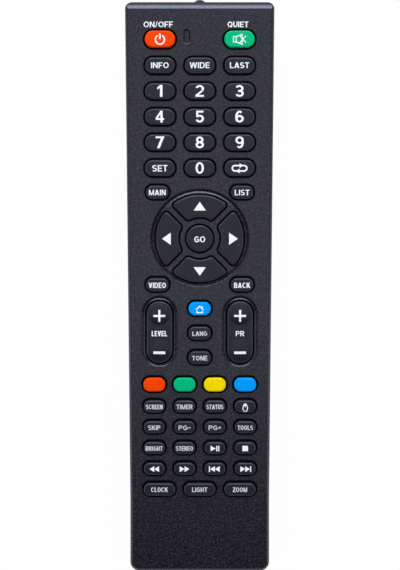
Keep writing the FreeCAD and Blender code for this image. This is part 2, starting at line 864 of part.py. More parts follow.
def rocker_rim(name, x):
    """The same sunk rim round a rocker."""
    low = face_top - S.rim_depth
    high = face_top + S.wall
    reach = (S.rocker_length - S.rocker_width) / 2
    inner = S.rocker_width / 2 + S.key_gap / 2
    outer = S.rocker_width / 2 + rim_clear
    disc = extruded(
        f"{name}_rim_slot",
        lambda s: draw_slot(s, (reach + outer) * 2, outer * 2), low, high, x, rocker_y,
    )
    bind(disc.Base, "Placement.Rotation.Angle", 90)
    wedge = doc.addObject("Part::Wedge", f"{name}_rim_wedge")
    bounds = {
        "Xmin": -outer, "Xmax": outer, "X2min": -inner, "X2max": inner,
        "Ymin": ZERO, "Ymax": S.rim_depth,
        "Zmin": -reach, "Zmax": reach, "Z2min": -reach, "Z2max": reach,
    }
    for path, size in bounds.items():
        bind(wedge, path, size)
    wedge.Placement.Rotation = FreeCAD.Rotation(FreeCAD.Vector(1, 0, 0), 90)
    place(wedge, x, rocker_y, low)
    pieces = [wedge]
    for end, side in (("plus", 1), ("minus", -1)):
        y = rocker_y + reach * side
        pieces.append(cone(f"{name}_{end}_rim_cone", outer, inner, x, y, low, face_top))
    island = fuse(f"{name}_rim_island", pieces)
    column = extruded(
        f"{name}_rim_column",
        lambda s: draw_slot(s, (reach + inner) * 2, inner * 2), face_top, high, x, rocker_y,
    )
    bind(column.Base, "Placement.Rotation.Angle", 90)
    return cut(f"{name}_rim", disc, [fuse(f"{name}_rim_middle", [island, column])])


def window_opening(name, gap, low, high):
    """The indicator's upright slot."""
    made = extruded(
        name, lambda s: draw_slot(s, S.window_length + gap * 2, S.window_width + gap * 2),
        low, high, S.window_x, window_y,
    )
    bind(made.Base, "Placement.Rotation.Angle", 90)
    return made


def diode_notch(name):
    """The round hole in the head end that the diode looks out of, half in each cover."""
    return lying_cylinder(
        name, S.diode_radius + S.fit_clearance, ZERO, S.parting_height,
        head_inside - S.wall, S.body_length / 2 + S.wall,
    )


def ring(name, outer_inset, inner_inset, low, high):
    """A wall that follows the casing's plan, between two insets."""
    outer = extruded(f"{name}_outer", lambda s: draw_polygon(s, outline(outer_inset)), low, high)
    inner = extruded(
        f"{name}_inner", lambda s: draw_polygon(s, outline(inner_inset)), low - S.wall,
        high + S.wall,
    )
    return cut(name, outer, [inner])


def front_lip():
    """A lip inside the front cover's wall that enters the rear cover, open at bay and diode."""
    low = front_low - S.lip_depth
    high = front_low + S.lip_thickness
    inner = S.wall + S.fit_clearance + S.lip_thickness
    tongue = ring("lip_tongue", S.wall + S.fit_clearance, inner, low, high)
    root = ring("lip_root", S.wall - S.contact_gap, inner, front_low, high)
    bay_room = bay_half + S.bay_wall + S.cell_clearance
    diode_room = S.diode_radius + S.diode_foot + S.cell_clearance
    rooms = [
        box("lip_bay_room", (-bay_room, bay_room), (tail_inside, bay_start + S.wall),
            (low - S.wall, high + S.wall)),
        box("lip_diode_room", (-diode_room, diode_room), (head_inside - S.wall * 2, head_inside),
            (low - S.wall, high + S.wall)),
    ]
    return cut("front_lip", fuse("lip_whole", [tongue, root]), rooms)


def head_slope(head):
    """What a slope takes off the face's head edge, from a wedge that stands over it."""
    wedge = doc.addObject("Part::Wedge", "head_slope")
    half_head = S.head_width / 2 + S.wall
    bounds = {
        "Xmin": -half_head, "Xmax": half_head, "X2min": -half_head, "X2max": half_head,
        "Ymin": ZERO, "Ymax": S.head_slope_drop * 2,
        "Zmin": -S.wall, "Zmax": ZERO, "Z2min": -S.wall, "Z2max": S.head_slope_run * 2,
    }
    for path, size in bounds.items():
        bind(wedge, path, size)
    wedge.Placement.Rotation = FreeCAD.Rotation(FreeCAD.Vector(1, 0, 0), 90)
    return place(wedge, ZERO, head, face_top - S.head_slope_drop)


def front_cover():
    block = casing_block("front", front_low, face_top)
    top = face_top.number

    def top_radius(edge):
        if not on_level(edge, top):
            return None
        ends = [vertex.Point.y for vertex in edge.Vertexes]
        head = S.body_length.number / 2 - S.head_corner.number
        head_round = S.head_round.number
        side_round = S.side_round.number
        if min(ends) > head + EDGE_TOLERANCE:
            return head_round, head_round
        if max(ends) < head + EDGE_TOLERANCE:
            return side_round, side_round
        first, last = ends
        return (side_round, head_round) if first < last else (head_round, side_round)

    block = rounded("front_rounded", block, top_radius)
    block = cut("front_sloped", block, [head_slope(S.body_length / 2)])
    cavity = extruded(
        "front_cavity", lambda s: draw_polygon(s, outline(S.wall)), front_low - S.wall, face_under
    )
    shell = cut("front_shell", block, [cavity])
    additions = [shell]
    for name, x, y in boss_places():
        additions.append(
            cylinder(f"{name}_boss", S.boss_radius, x, y, board_top, face_under + S.contact_gap)
        )
    shell = fuse("front_with_bosses", [*additions, front_lip()])
    tools = [key_opening(*key) for key in slot_keys()]
    for node, keys in joined_row_keys().items():
        tools += [key_opening(f"{node}_{number}", *key) for number, key in enumerate(keys)]
    ok_opening = S.ok_radius + S.key_gap
    tools.append(opening("ok_key", lambda s: draw_circle(s, ok_opening), ZERO, cursor_y))
    tools += [sector_opening(name, angle) for name, angle in CURSOR_PADS.items()]
    length = S.rocker_length + S.key_gap * 2
    width = S.rocker_width + S.key_gap * 2
    for name, x in ROCKERS.items():
        made = opening(name, lambda s: draw_slot(s, length, width), x, rocker_y)
        bind(made.Base, "Placement.Rotation.Angle", 90)
        tools += [made, rocker_rim(name, x)]
    tools.append(cursor_rim())
    tools.append(
        window_opening("window_opening", ZERO, face_under - S.wall, face_top + S.wall)
    )
    tools.append(diode_notch("front_diode_notch"))
    for name, x, y in boss_places():
        hole = S.screw_radius + S.contact_gap
        tools.append(
            cylinder(f"{name}_pilot", hole, x, y, board_low, board_top + S.screw_length)
        )
    return cut("front_cover", shell, tools)


def indicator_window():
    """A dark lens that fills the indicator's slot from behind, held by a rim under the face."""
    gap = S.fit_clearance
    lens = window_opening(
        "window_lens", -gap, face_under - S.flange_thickness / 2, face_top - S.window_sunk
    )
    rim = window_opening(
        "window_flange", S.flange_rim, face_under - S.flange_thickness, face_under
    )
    return fuse("indicator_window", [lens, rim])


# Rear cover and battery door


def rear_block(name, gap):
    """The rear cover's outer form."""
    block = casing_block(name, ZERO, rear_top - gap)

    def bottom_radius(edge):
        if not on_level(edge, 0):
            return None
        return S.back_round.number, S.back_round.number

    return rounded(f"{name}_rounded", block, bottom_radius)


def rear_cover():
    block = rear_block("rear", ZERO)
    cavity = extruded(
        "rear_cavity", lambda s: draw_polygon(s, outline(S.wall)), S.back_thickness,
        rear_top + S.wall,
    )
    beyond = -(S.body_length / 2) - S.wall
    door_hole = box(
        "door_hole", (-(door_half + S.door_gap), door_half + S.door_gap),
        (beyond, door_end + S.door_gap), (-S.wall, S.back_thickness + S.contact_gap),
    )
    tongue_hole = box(
        "tongue_hole", (-rib_in, rib_in), (beyond, tail_inside + S.contact_gap),
        (-S.wall, ledge_low),
    )
    shell = cut("rear_shell", block, [cavity, door_hole, tongue_hole])
    wall_out = bay_half + S.bay_wall
    bay_stop = bay_end + S.bay_wall
    shelf_stop = door_end + S.latch_reach + S.door_gap + S.bay_wall
    tail = tail_inside - S.contact_gap
    base = S.back_thickness - S.contact_gap
    start = tail_inside + S.fit_clearance
    parts = [shell]
    parts += mirrored_boxes(
        "bay_side", (bay_half, wall_out), (start, bay_stop), (ledge_low, roof_top)
    )
    parts += mirrored_boxes(
        "bay_ledge", (bay_half, rib_out), (tail, shelf_stop), (ledge_low, ledge_top)
    )
    parts += mirrored_boxes("bay_rib", (rib_in, rib_out), (tail, shelf_stop), (base, ledge_top))
    parts.append(
        box("bay_root", (-wall_out, wall_out), (tail, bay_start), (ledge_low, rear_top))
    )
    parts.append(
        box("bay_tail", (-wall_out, wall_out), (start, bay_start), (ledge_low, roof_top))
    )
    parts.append(
        box("bay_head", (-wall_out, wall_out), (bay_end, bay_stop), (ledge_low, roof_top))
    )
    parts.append(box("bay_top", (-wall_out, wall_out), (start, bay_stop), (roof_low, roof_top)))
    parts.append(
        box("latch_shelf", (-rib_out, rib_out), (bay_end, shelf_stop), (ledge_low, ledge_top))
    )
    parts.append(
        box("latch_rib", (-rib_out, rib_out), (shelf_stop - S.bay_wall, shelf_stop),
            (base, ledge_top))
    )
    whole = fuse("rear_with_bay", parts)
    return cut("rear_cover", whole, [diode_notch("rear_diode_notch")])


def battery_door():
    """The sliding door: the casing's own outer form, with tongues, a latch and grip grooves."""
    beyond = -(S.body_length / 2) - S.wall
    plate_form = box(
        "door_plate_form", (-door_half, door_half), (beyond, door_end), (-S.wall, S.back_thickness)
    )
    end_form = box(
        "door_end_form", (-tongue_half, tongue_half), (beyond, tail_inside - S.door_gap),
        (-S.wall, tongue_top),
    )
    forms = fuse("door_forms", [plate_form, end_form])
    skin = common("door_skin", [rear_block("door", ZERO), forms])
    base = S.back_thickness - S.contact_gap
    inner = bay_half + S.bay_wall
    parts = [skin]
    parts += mirrored_boxes(
        "door_runner", (inner, door_half), (tail_inside - S.door_gap - S.contact_gap, door_end),
        (base, tongue_top),
    )
    parts += mirrored_boxes(
        "door_tongue", (door_half - S.bay_wall, tongue_half),
        (tail_inside - S.door_gap - S.contact_gap, door_end), (tongue_low, tongue_top),
    )
    half_latch = S.latch_width / 2
    parts.append(
        box("latch_root", (-half_latch, half_latch), (door_end - S.door_overlap, door_end),
            (base, tongue_top))
    )
    parts.append(
        box("latch_tab", (-half_latch, half_latch),
            (door_end - S.door_overlap, door_end + S.latch_reach), (tongue_low, tongue_top))
    )
    whole = fuse("door_whole", parts)
    grooves = []
    for number in range(GROOVE_COUNT):
        y = door_end - S.grip_pitch * (number + FIRST_GROOVE)
        grooves.append(
            box(f"grip_{number}", (-(S.grip_width / 2), S.grip_width / 2),
                (y - S.grip_pitch / 4, y + S.grip_pitch / 4), (-S.grip_depth, S.grip_depth))
        )
    return cut("battery_door", whole, grooves)


# Keypad base and circuit board


board_head = power_row_y + S.stem_radius + S.stem_clearance + S.collar_wall
lead_y = board_head - S.lead_spacing


def sheet_corners():
    """Plan of the board and of the keypad base."""
    inset = S.wall + S.board_inset
    knee_y = S.straight_tail - S.body_length / 2
    head_x = half_width(board_head) - inset
    tail_x = S.tail_width / 2 - inset
    tail_y = inset - S.body_length / 2
    right = [(tail_x, tail_y), (tail_x, knee_y), (head_x, board_head)]
    return right + [(-x, y) for x, y in reversed(right)]


def keypad_mat():
    plate = extruded(
        "mat_plate", lambda s: draw_polygon(s, sheet_corners()), board_top, mat_top
    )
    collars = []
    holes = []
    for name, x, y in stem_places():
        hole = S.stem_radius + S.stem_clearance
        collars.append(
            cylinder(f"{name}_collar", hole + S.collar_wall, x, y, board_top, collar_top)
        )
        holes.append(cylinder(f"{name}_mat_hole", hole, x, y, board_low, face_under))
    for name, x, y in boss_places():
        hole = S.boss_radius + S.fit_clearance * 2
        holes.append(cylinder(f"{name}_mat_hole", hole, x, y, board_low, face_under))
    lamp_room = S.window_width / 2 + S.stem_clearance
    holes.append(
        box("mat_lamp_notch", (S.window_x - lamp_room, ZERO),
            (window_y - S.window_length / 2, S.body_length / 2), (board_low, face_under))
    )
    holes.append(
        box("mat_lead_notch", (-S.lead_spacing, S.lead_spacing),
            (lead_y - S.lead_spacing / 2, S.body_length / 2), (board_low, face_under))
    )
    return cut("keypad_mat", fuse("mat_whole", [plate, *collars]), holes)


def circuit_board():
    plate = extruded(
        "board_plate", lambda s: draw_polygon(s, sheet_corners()), board_low, board_top
    )
    holes = []
    for name, x, y in boss_places():
        hole = S.screw_radius + S.fit_clearance
        holes.append(cylinder(f"{name}_board_hole", hole, x, y, roof_low, mat_top))
    for name, side in (("right", 1), ("left", -1)):
        x = S.lead_spacing / 2 * side
        hole = S.lead_thickness / 2 + S.fit_clearance
        holes.append(cylinder(f"{name}_lead_hole", hole, x, lead_y, roof_low, mat_top))
    return cut("circuit_board", plate, holes)


def board_components():
    """What is soldered on the board, as separate solids."""
    under = board_low - S.contact_gap
    chip = box("chip_body", around(ZERO, S.chip_width), around(cursor_y, S.chip_length),
               (under - S.chip_height, under - S.chip_standoff))
    edge = S.chip_width / 2
    pins = []
    for number, offset in enumerate(spread(PIN_PAIR_COUNT, S.pin_pitch)):
        pins += mirrored_boxes(
            f"chip_pin_{number}", (edge - S.pin_thickness, edge + S.pin_reach),
            around(cursor_y + offset, S.pin_width), (under - S.pin_thickness, under),
        )
    tall_y = S.body_length * S.tall_parts_share
    flat_y = S.body_length * S.flat_parts_share
    resonator_x = S.tail_width * S.resonator_x_share
    capacitor_x = S.tail_width * S.capacitor_x_share
    half_can = S.capacitor_length / 2
    pieces = [
        fuse("control_chip", [chip, *pins]),
        box("resonator", around(resonator_x, S.resonator_width),
            around(tall_y, S.resonator_length), (under - S.resonator_height, under)),
        lying_cylinder("capacitor", S.capacitor_radius, capacitor_x, under - S.capacitor_radius,
                       tall_y - half_can, tall_y + half_can),
        box("transistor", around(capacitor_x, S.transistor_width),
            around(flat_y, S.transistor_length), (under - S.transistor_height, under)),
    ]
    for number, x in enumerate(spread(RESISTOR_COUNT, S.resistor_pitch)):
        pieces.append(
            box(f"resistor_{number}", around(x, S.resistor_width),
                around(flat_y, S.resistor_length), (under - S.resistor_height, under))
        )
    pieces.append(
        box("indicator_lamp", around(S.window_x, S.lamp_width), around(window_y, S.lamp_length),
            (board_top, board_top + S.lamp_height))
    )
    return group("board_components", pieces)


def infrared_led():
    """A round diode lying in the parting plane, its leads bent up to the board."""
    tip = S.body_length / 2 + S.diode_proud
    foot = tip - S.diode_length
    z = S.parting_height
    barrel = lying_cylinder("diode_barrel", S.diode_radius, ZERO, z, foot, tip - S.diode_radius)
    ball = doc.addObject("Part::Sphere", "diode_ball")
    bind(ball, "Radius", S.diode_radius)
    place(ball, ZERO, tip - S.diode_radius, z)
    flange = lying_cylinder(
        "diode_flange", S.diode_radius + S.diode_foot, ZERO, z, foot, foot + S.diode_foot * 2
    )
    parts = [barrel, ball, flange]
    half = S.lead_thickness / 2
    for name, side in (("right", 1), ("left", -1)):
        x = S.lead_spacing / 2 * side
        parts.append(
            box(f"diode_lead_{name}", (x - half, x + half), (lead_y - half, foot + half),
                (z - half, z + half))
        )
        parts.append(
            box(f"diode_leg_{name}", (x - half, x + half), (lead_y - half, lead_y + half),
                (z - half, board_top + half))
        )
    return fuse("infrared_led", parts)


def board_screws():
    """Four identical screws that hold the board and the keypad base under the face."""
    screws = []
    for name, x, y in boss_places():
        shank_top = board_low + S.board_thickness + S.screw_length - S.fit_clearance
        shank = cylinder(f"{name}_shank", S.screw_radius, x, y, board_low, shank_top)
        head = cylinder(
            f"{name}_head", S.screw_head_radius, x, y, board_low - S.screw_head_height, board_low
        )
        depth = (board_low - S.screw_head_height * 2, board_low - S.screw_head_height / 2)
        long_way = around(x, S.cross_length), around(y, S.cross_width)
        other_way = around(x, S.cross_width), around(y, S.cross_length)
        cross = [
            box(f"{name}_cross_a", *long_way, depth),
            box(f"{name}_cross_b", *other_way, depth),
        ]
        screws.append(cut(f"{name}_screw", fuse(f"{name}_blank", [head, shank]), cross))
    return group("board_screws", screws)


# Cells and contacts

plate_tail = bay_start + S.contact_thickness
plate_head = bay_end - S.contact_thickness


def cell(name, x, nub_y_low, y_low, y_high):
    """One cell, its nub at the end that nub_y_low gives."""
    can = lying_cylinder(f"{name}_can", S.cell_radius, x, cell_z, y_low, y_high)
    nub = lying_cylinder(
        f"{name}_nub", S.cell_nub_radius, x, cell_z, nub_y_low,
        nub_y_low + S.cell_nub_length + S.contact_gap,
    )
    return fuse(name, [can, nub])


def batteries():
    """Two AAA cells side by side, opposite ways round."""
    can = S.cell_length - S.cell_nub_length
    left_low = plate_tail + S.spring_length
    right_low = plate_tail + S.cell_nub_length
    left = cell("left_cell", -cell_x, left_low + can - S.contact_gap, left_low, left_low + can)
    right = cell("right_cell", cell_x, plate_tail, right_low, right_low + can)
    return group("batteries", [left, right])


def biarc(start, start_way, end, end_way):
    """Two arcs from start to end that meet smoothly, with the given directions at their ends."""
    span = end - start
    total = start_way + end_way
    bend = 2 * (1 - start_way.dot(end_way))
    reach = span.dot(total)
    handle = (math.sqrt(reach * reach + bend * span.dot(span)) - reach) / bend
    middle = (start + end + (start_way - end_way) * handle) * 0.5
    arcs = []
    for first, control, last in (
        (start, start + start_way * handle, middle),
        (middle, end - end_way * handle, end),
    ):
        weight = (last - first).Length / 2 / handle
        top = (first + control * (2 * weight) + last) * (1 / (2 + 2 * weight))
        arcs.append(Part.Arc(first, top, last).toShape())
    return arcs


def spring(name, x, y_base, way):
    """A cone spring along Y, wound from its base at y_base towards the cell."""
    wire = S.spring_wire.number
    base = S.spring_base_radius.number
    tip = S.spring_tip_radius.number
    turns = S.spring_turns.number
    height = S.spring_length.number - wire - 2 * S.contact_gap.number
    quarters = int(round(turns * 4))

    def wire_point(share):
        angle = 2 * math.pi * turns * share
        radius = base + (tip - base) * share
        return FreeCAD.Vector(
            x.number + radius * math.cos(angle),
            y_base.number + way * (wire / 2 + S.contact_gap.number + height * share),
            cell_z.number + radius * math.sin(angle),
        )

    def wire_way(share):
        angle = 2 * math.pi * turns * share
        turn = 2 * math.pi * turns
        radius = base + (tip - base) * share
        shrink = tip - base
        return FreeCAD.Vector(
            shrink * math.cos(angle) - radius * turn * math.sin(angle),
            way * height,
            shrink * math.sin(angle) + radius * turn * math.cos(angle),
        ).normalize()

    arcs = []
    for number in range(quarters):
        share, after = number / quarters, (number + 1) / quarters
        arcs += biarc(wire_point(share), wire_way(share), wire_point(after), wire_way(after))
    path = Part.Wire(arcs)
    section = Part.Wire(Part.Circle(wire_point(0), wire_way(0), wire / 2).toShape())
    made = doc.addObject("Part::Feature", name)
    made.Shape = path.makePipeShell([section], True, False)
    shares = [number / SPRING_SAMPLE_COUNT for number in range(SPRING_SAMPLE_COUNT + 1)]
    samples = [wire_point(share) for share in shares]
    apart = min(
        (first - other).Length
        for number, first in enumerate(samples)
        for other in samples[number + NEAR_SAMPLE_COUNT:]
    )
    print(f"{name}: least gap between turns {apart - wire:.2f} mm")
    return made


def contact_plate(name, x_low, x_high, y_low, y_high):
    half = S.contact_width / 2
    return box(name, (x_low, x_high), (y_low, y_high), (cell_z - half, cell_z + half))


def battery_contacts():
    """Sprung steel contacts: one bridge at the tail, a plate and a sprung plate at the head."""
    half = S.contact_width / 2
    return group("battery_contacts", [
        contact_plate("bridge_plate", -cell_x - half, cell_x + half, bay_start, plate_tail),
        spring("bridge_spring", -cell_x, plate_tail, 1),
        contact_plate("positive_plate", -cell_x - half, -cell_x + half, plate_head, bay_end),
        contact_plate("negative_plate", cell_x - half, cell_x + half, plate_head, bay_end),
        spring("negative_spring", cell_x, plate_head, -1),
    ])


def all_nodes():
    """Every sub-part, each with the label that names its file."""
    nodes = [
        front_cover(), rear_cover(), battery_door(), keypad_mat(), circuit_board(),
        board_components(), infrared_led(), indicator_window(), board_screws(),
        battery_contacts(), batteries(), ok_key(),
    ]
    nodes += [group(key[0], slot_key(*key)) for key in slot_keys()]
    nodes += [cursor_pad(name, angle) for name, angle in CURSOR_PADS.items()]
    nodes += [rocker_key(name, x) for name, x in ROCKERS.items()]
    for node, keys in joined_row_keys().items():
        pieces = []
        for number, key in enumerate(keys):
            pieces += slot_key(f"{node}_{number}", *key)
        nodes.append(group(node, pieces))
    return nodes


nodes = all_nodes()
doc.recompute()
for thing in doc.Objects:
    if "Invalid" in thing.State or "Error" in thing.State:
        raise RuntimeError(f"{thing.Label} did not compute: {thing.State}")
for node in nodes:
    if node.Shape.isNull() or not node.Shape.isValid():
        raise RuntimeError(f"{node.Label} has no valid shape")

os.makedirs("parts", exist_ok=True)
for node in nodes:
    node.Shape.exportStep(f"parts/{node.Label}.step")
print(f"{len(nodes)} nodes written")
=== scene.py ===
import math

import bmesh
import bpy
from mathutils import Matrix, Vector, geometry
from mathutils.bvhtree import BVHTree


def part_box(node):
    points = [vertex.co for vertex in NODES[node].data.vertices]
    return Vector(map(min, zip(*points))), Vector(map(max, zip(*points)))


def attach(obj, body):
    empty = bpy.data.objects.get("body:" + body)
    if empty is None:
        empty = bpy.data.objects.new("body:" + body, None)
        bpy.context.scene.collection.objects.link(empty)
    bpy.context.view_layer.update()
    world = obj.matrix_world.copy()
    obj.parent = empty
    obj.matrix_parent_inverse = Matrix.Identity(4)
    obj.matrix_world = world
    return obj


# Looks of a television remote control. Everything is in metres, in the frame of the solids:
# Z up out of the keys, Y to the head end, the origin on the flat back.

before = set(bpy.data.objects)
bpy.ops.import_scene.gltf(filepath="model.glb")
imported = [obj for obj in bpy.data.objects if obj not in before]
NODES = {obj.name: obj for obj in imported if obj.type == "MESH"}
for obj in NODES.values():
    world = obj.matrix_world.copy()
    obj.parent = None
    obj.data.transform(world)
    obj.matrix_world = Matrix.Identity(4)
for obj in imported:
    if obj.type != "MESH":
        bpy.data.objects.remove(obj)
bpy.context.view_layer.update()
MM = 0.001
MICRON = 1e-6

# What the photograph fixes: its scale at the face, and the middle of its view
PHOTO_HEIGHT = 570
FACE_MM_PER_PIXEL = 0.35255
VIEW_MIDDLE = (0.1 * MM, 0.44 * MM)
CAMERA_DISTANCE = 0.42
CAMERA_SENSOR = 36.0
CAMERA_SHIFT = -0.12

# Places and sizes of the solids
FACE_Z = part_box("front_cover")[1].z
HEAD_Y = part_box("front_cover")[1].y
KEY_TOP_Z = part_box("ok_key")[1].z
SLOPE_RUN = 2.6 * MM
RIM_DEPTH = 0.6 * MM
SERVICE_KEY_WIDTH = 12.8 * MM
PLAYBACK_KEY_WIDTH = 9.2 * MM
CELL_LOW, CELL_HIGH = (corner.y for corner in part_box("batteries"))
CELL_MIDDLE_Y = (CELL_LOW + CELL_HIGH) / 2
CELL_HALF = (CELL_HIGH - CELL_LOW) / 2

# How far below the face a key turns into its dark skirt, painted shade in the gap round it and,
# on coloured keys, also their black base, and the casing's walls turn dull, over which height,
# and how much rougher they are there
SKIRT_START = 0.05 * MM
SKIRT_FADE = 0.3 * MM
SKIRT_DULLNESS = 0.5
WALL_START = 0.8 * MM
WALL_FADE = 0.25 * MM
WALL_DULLNESS = 0.6

# Colours and sheens, as linear red, green and blue
CASING_COLOUR = (0.0085, 0.0082, 0.0125)
CASING_SHEEN = (0.8, 0.82, 1.0)
CASING_DUST = (0.17, 0.17, 0.18)
KEY_COLOUR = (0.0085, 0.0088, 0.0115)
# The rounded edges of the black keys are painted lighter, as a highlight
KEY_EDGE_HIGHLIGHT_COLOUR = (0.034, 0.035, 0.041)
KEY_SHEEN = (0.84, 0.86, 1.0)
# Below the face the keys are painted near black: shade in the gaps, and on coloured keys also
# their black base
SKIRT_SHADE_COLOUR = (0.002, 0.002, 0.0025)
MAT_COLOUR = (0.012, 0.012, 0.013)
# Near black for the thin pieces of painted shade round the openings, the lens and the rims
GAP_COLOUR = (0.002, 0.002, 0.0025)
BOARD_COLOUR = (0.03, 0.16, 0.06)
MASK_COLOUR = (0.035, 0.2, 0.075)
TRACK_COLOUR = (0.015, 0.1, 0.04)
SCREW_COLOUR = (0.62, 0.62, 0.64)
CONTACT_COLOUR = (0.75, 0.75, 0.77)
JACKET_COLOUR = (0.03, 0.2, 0.19)
JACKET_LINE = (0.02, 0.02, 0.02)
JACKET_BAND = (0.6, 0.6, 0.58)
WHITE = (0.95, 0.97, 1.0)
SOFT_WHITE_SHARE = 0.72
COLOURED_RUBBERS = {
    "red_rubber": ((1.0, 0.055, 0.0), (1.0, 0.35, 0.12)),
    "green_rubber": ((0.0, 0.48, 0.19), (0.12, 0.9, 0.6)),
    "blue_rubber": ((0.0, 0.33, 0.98), (0.1, 0.6, 1.0)),
    "yellow_rubber": ((0.95, 0.7, 0.0), (1.0, 0.9, 0.15)),
}

# Grain, dust and patches of the materials
CASING_GRAIN = 0.3 * MM
CASING_RELIEF = 0.012 * MM
MOTTLE_LEVEL = 0.4486
MOTTLE_GAIN = 21.0
DUST_RADIUS = 0.13 * MM
CASING_DUST_SPACING = 5.5 * MM
CASING_DUST_SHARE = 0.12
KEY_DUST_SPACING = 2.6 * MM
KEY_DUST_SHARE = 0.3
COLOURED_DUST_SHARE = 0.05
KEY_ROUGHNESS = 0.32
COLOURED_ROUGHNESS = 0.34
TRACK_CELL = 5 * MM
TRACKS_PER_CELL = 4.0

# Where the dark line before the pale band on a cell's jacket starts, how soft its ends are and
# how wide it is, as shares of the cell's length
BAND_START = 0.74
BAND_BLEND = 0.005
BAND_LINE = 0.015


# Material recipes


def grey(level):
    return (level, level, level)


def opaque(colour):
    return (*colour, 1.0)


def shade(colour, factor):
    return tuple(min(1.0, channel * factor) for channel in colour)


class Recipe:
    """A material under construction, with its main shader."""

    def __init__(self, name, colour, roughness, **sockets):
        self.material = bpy.data.materials.new(name)
        self.material.use_nodes = True
        self.tree = self.material.node_tree
        self.shader = self.tree.nodes["Principled BSDF"]
        self.shader.inputs["Base Color"].default_value = opaque(colour)
        self.shader.inputs["Roughness"].default_value = roughness
        for socket, value in sockets.items():
            self.shader.inputs[socket.replace("_", " ")].default_value = value
        coordinates = self.node("ShaderNodeTexCoord")
        self.place = coordinates.outputs["Object"]
        self.normal = coordinates.outputs["Normal"]

    def node(self, kind, **settings):
        made = self.tree.nodes.new(kind)
        for setting, value in settings.items():
            setattr(made, setting, value)
        return made

    def link(self, source, target):
        self.tree.links.new(source, target)

    def noise_node(self, size, detail=2.0, roughness=0.5, place=None):
        """Noise whose grains are about size metres across."""
        made = self.node("ShaderNodeTexNoise")
        made.inputs["Scale"].default_value = 1.0 / size
        made.inputs["Detail"].default_value = detail
        made.inputs["Roughness"].default_value = roughness
        self.link(place or self.place, made.inputs["Vector"])
        return made

    def noise(self, size, detail=2.0, roughness=0.5, place=None):
        return self.noise_node(size, detail, roughness, place).outputs["Fac"]

    def cells(self, spacing, **settings):
        """Voronoi cells about spacing metres across."""
        made = self.node("ShaderNodeTexVoronoi", **settings)
        made.inputs["Scale"].default_value = 1.0 / spacing
        self.link(self.place, made.inputs["Vector"])
        return made

    def specks(self, spacing, radius, share):
        """Small round specks, spacing metres apart, of which only a share are there."""
        cells = self.cells(spacing)
        near = self.ramp(cells.outputs["Distance"], [
            (0.0, grey(1.0)), (radius / spacing, grey(1.0)), (1.35 * radius / spacing, grey(0.0)),
        ])
        split = self.node("ShaderNodeSeparateColor")
        self.link(cells.outputs["Color"], split.inputs["Color"])
        chosen = self.math("LESS_THAN", split.outputs["Red"], share)
        return self.math("MULTIPLY", near, chosen)

    def math(self, operation, first, second):
        made = self.node("ShaderNodeMath", operation=operation)
        for number, value in enumerate((first, second)):
            if isinstance(value, float):
                made.inputs[number].default_value = value
            else:
                self.link(value, made.inputs[number])
        return made.outputs["Value"]

    def axis(self, source, name):
        """The X, Y or Z part of a place or a direction."""
        split = self.node("ShaderNodeSeparateXYZ")
        self.link(source, split.inputs["Vector"])
        return split.outputs[name]

    def span(self, source, start, end):
        """0 up to start and 1 from end on, with an even change between them."""
        made = self.node("ShaderNodeMapRange")
        made.inputs["From Min"].default_value = start
        made.inputs["From Max"].default_value = end
        self.link(source, made.inputs["Value"])
        return made.outputs["Result"]

    def ramp(self, source, stops):
        made = self.node("ShaderNodeValToRGB")
        ramp = made.color_ramp
        while len(ramp.elements) < len(stops):
            ramp.elements.new(1.0)
        for element, (place, colour) in zip(ramp.elements, stops):
            element.position = place
            element.color = opaque(colour)
        self.link(source, made.inputs["Fac"])
        return made.outputs["Color"]

    def tones(self, source, dark, light, low=0.3, high=0.7):
        """A colour that goes from dark to light while the source goes from low to high."""
        return self.ramp(source, [(low, dark), (high, light)])

    def mix(self, share, first, second, blend="MIX"):
        made = self.node("ShaderNodeMix", data_type="RGBA", blend_type=blend)
        for number, value in ((0, share), (6, first), (7, second)):
            if isinstance(value, (float, tuple)):
                made.inputs[number].default_value = value
            else:
                self.link(value, made.inputs[number])
        return made.outputs[2]

    def colour_from(self, source):
        self.link(source, self.shader.inputs["Base Color"])

    def roughness_from(self, source, low, high):
        made = self.node("ShaderNodeMapRange")
        made.inputs["To Min"].default_value = low
        made.inputs["To Max"].default_value = high
        self.link(source, made.inputs["Value"])
        self.link(made.outputs["Result"], self.shader.inputs["Roughness"])

    def change_roughness(self, change):
        """Adds a change to the roughness that is linked already."""
        rough = self.shader.inputs["Roughness"]
        plain = rough.links[0].from_socket
        self.link(self.math("ADD", plain, change), rough)

    def bump(self, height, depth, below=None):
        """Raises the surface by up to depth metres where height is 1."""
        made = self.node("ShaderNodeBump")
        made.inputs["Distance"].default_value = depth
        self.link(height, made.inputs["Height"])
        if below:
            self.link(below, made.inputs["Normal"])
        self.link(made.outputs["Normal"], self.shader.inputs["Normal"])
        return made.outputs["Normal"]


def depth_share(recipe, start, fade):
    """0 down to start metres below the face, and 1 from fade metres below that."""
    return recipe.span(recipe.axis(recipe.place, "Z"), FACE_Z - start, FACE_Z - start - fade)


def dull_below(recipe, deep, dullness):
    """Roughens a material where deep is 1."""
    recipe.change_roughness(recipe.math("MULTIPLY", deep, dullness))


def head_end_gloss(recipe):
    """The slope at the head end is polished next to the face and dull at its outer edge."""
    way = recipe.span(recipe.axis(recipe.place, "Y"), HEAD_Y - SLOPE_RUN, HEAD_Y)
    change = recipe.ramp(way, [
        (0.0, grey(0.5)), (0.04, grey(0.38)), (0.34, grey(0.38)), (0.54, grey(0.85)),
    ])
    recipe.change_roughness(recipe.math("SUBTRACT", change, 0.5))


def edge_share(recipe):
    """1 on the rounded rim of a key's cap, where a lighter colour is painted in patches as a
    highlight, and 0 on its top.
    """
    rim = recipe.ramp(recipe.axis(recipe.normal, "Z"), [
        (0.0, grey(0.0)), (0.3, grey(1.0)), (0.8, grey(1.0)), (0.97, grey(0.0)),
    ])
    patchy = recipe.tones(recipe.noise(1.2 * MM), grey(0.55), grey(1.0), 0.3, 0.6)
    return recipe.mix(1.0, rim, patchy, "MULTIPLY")


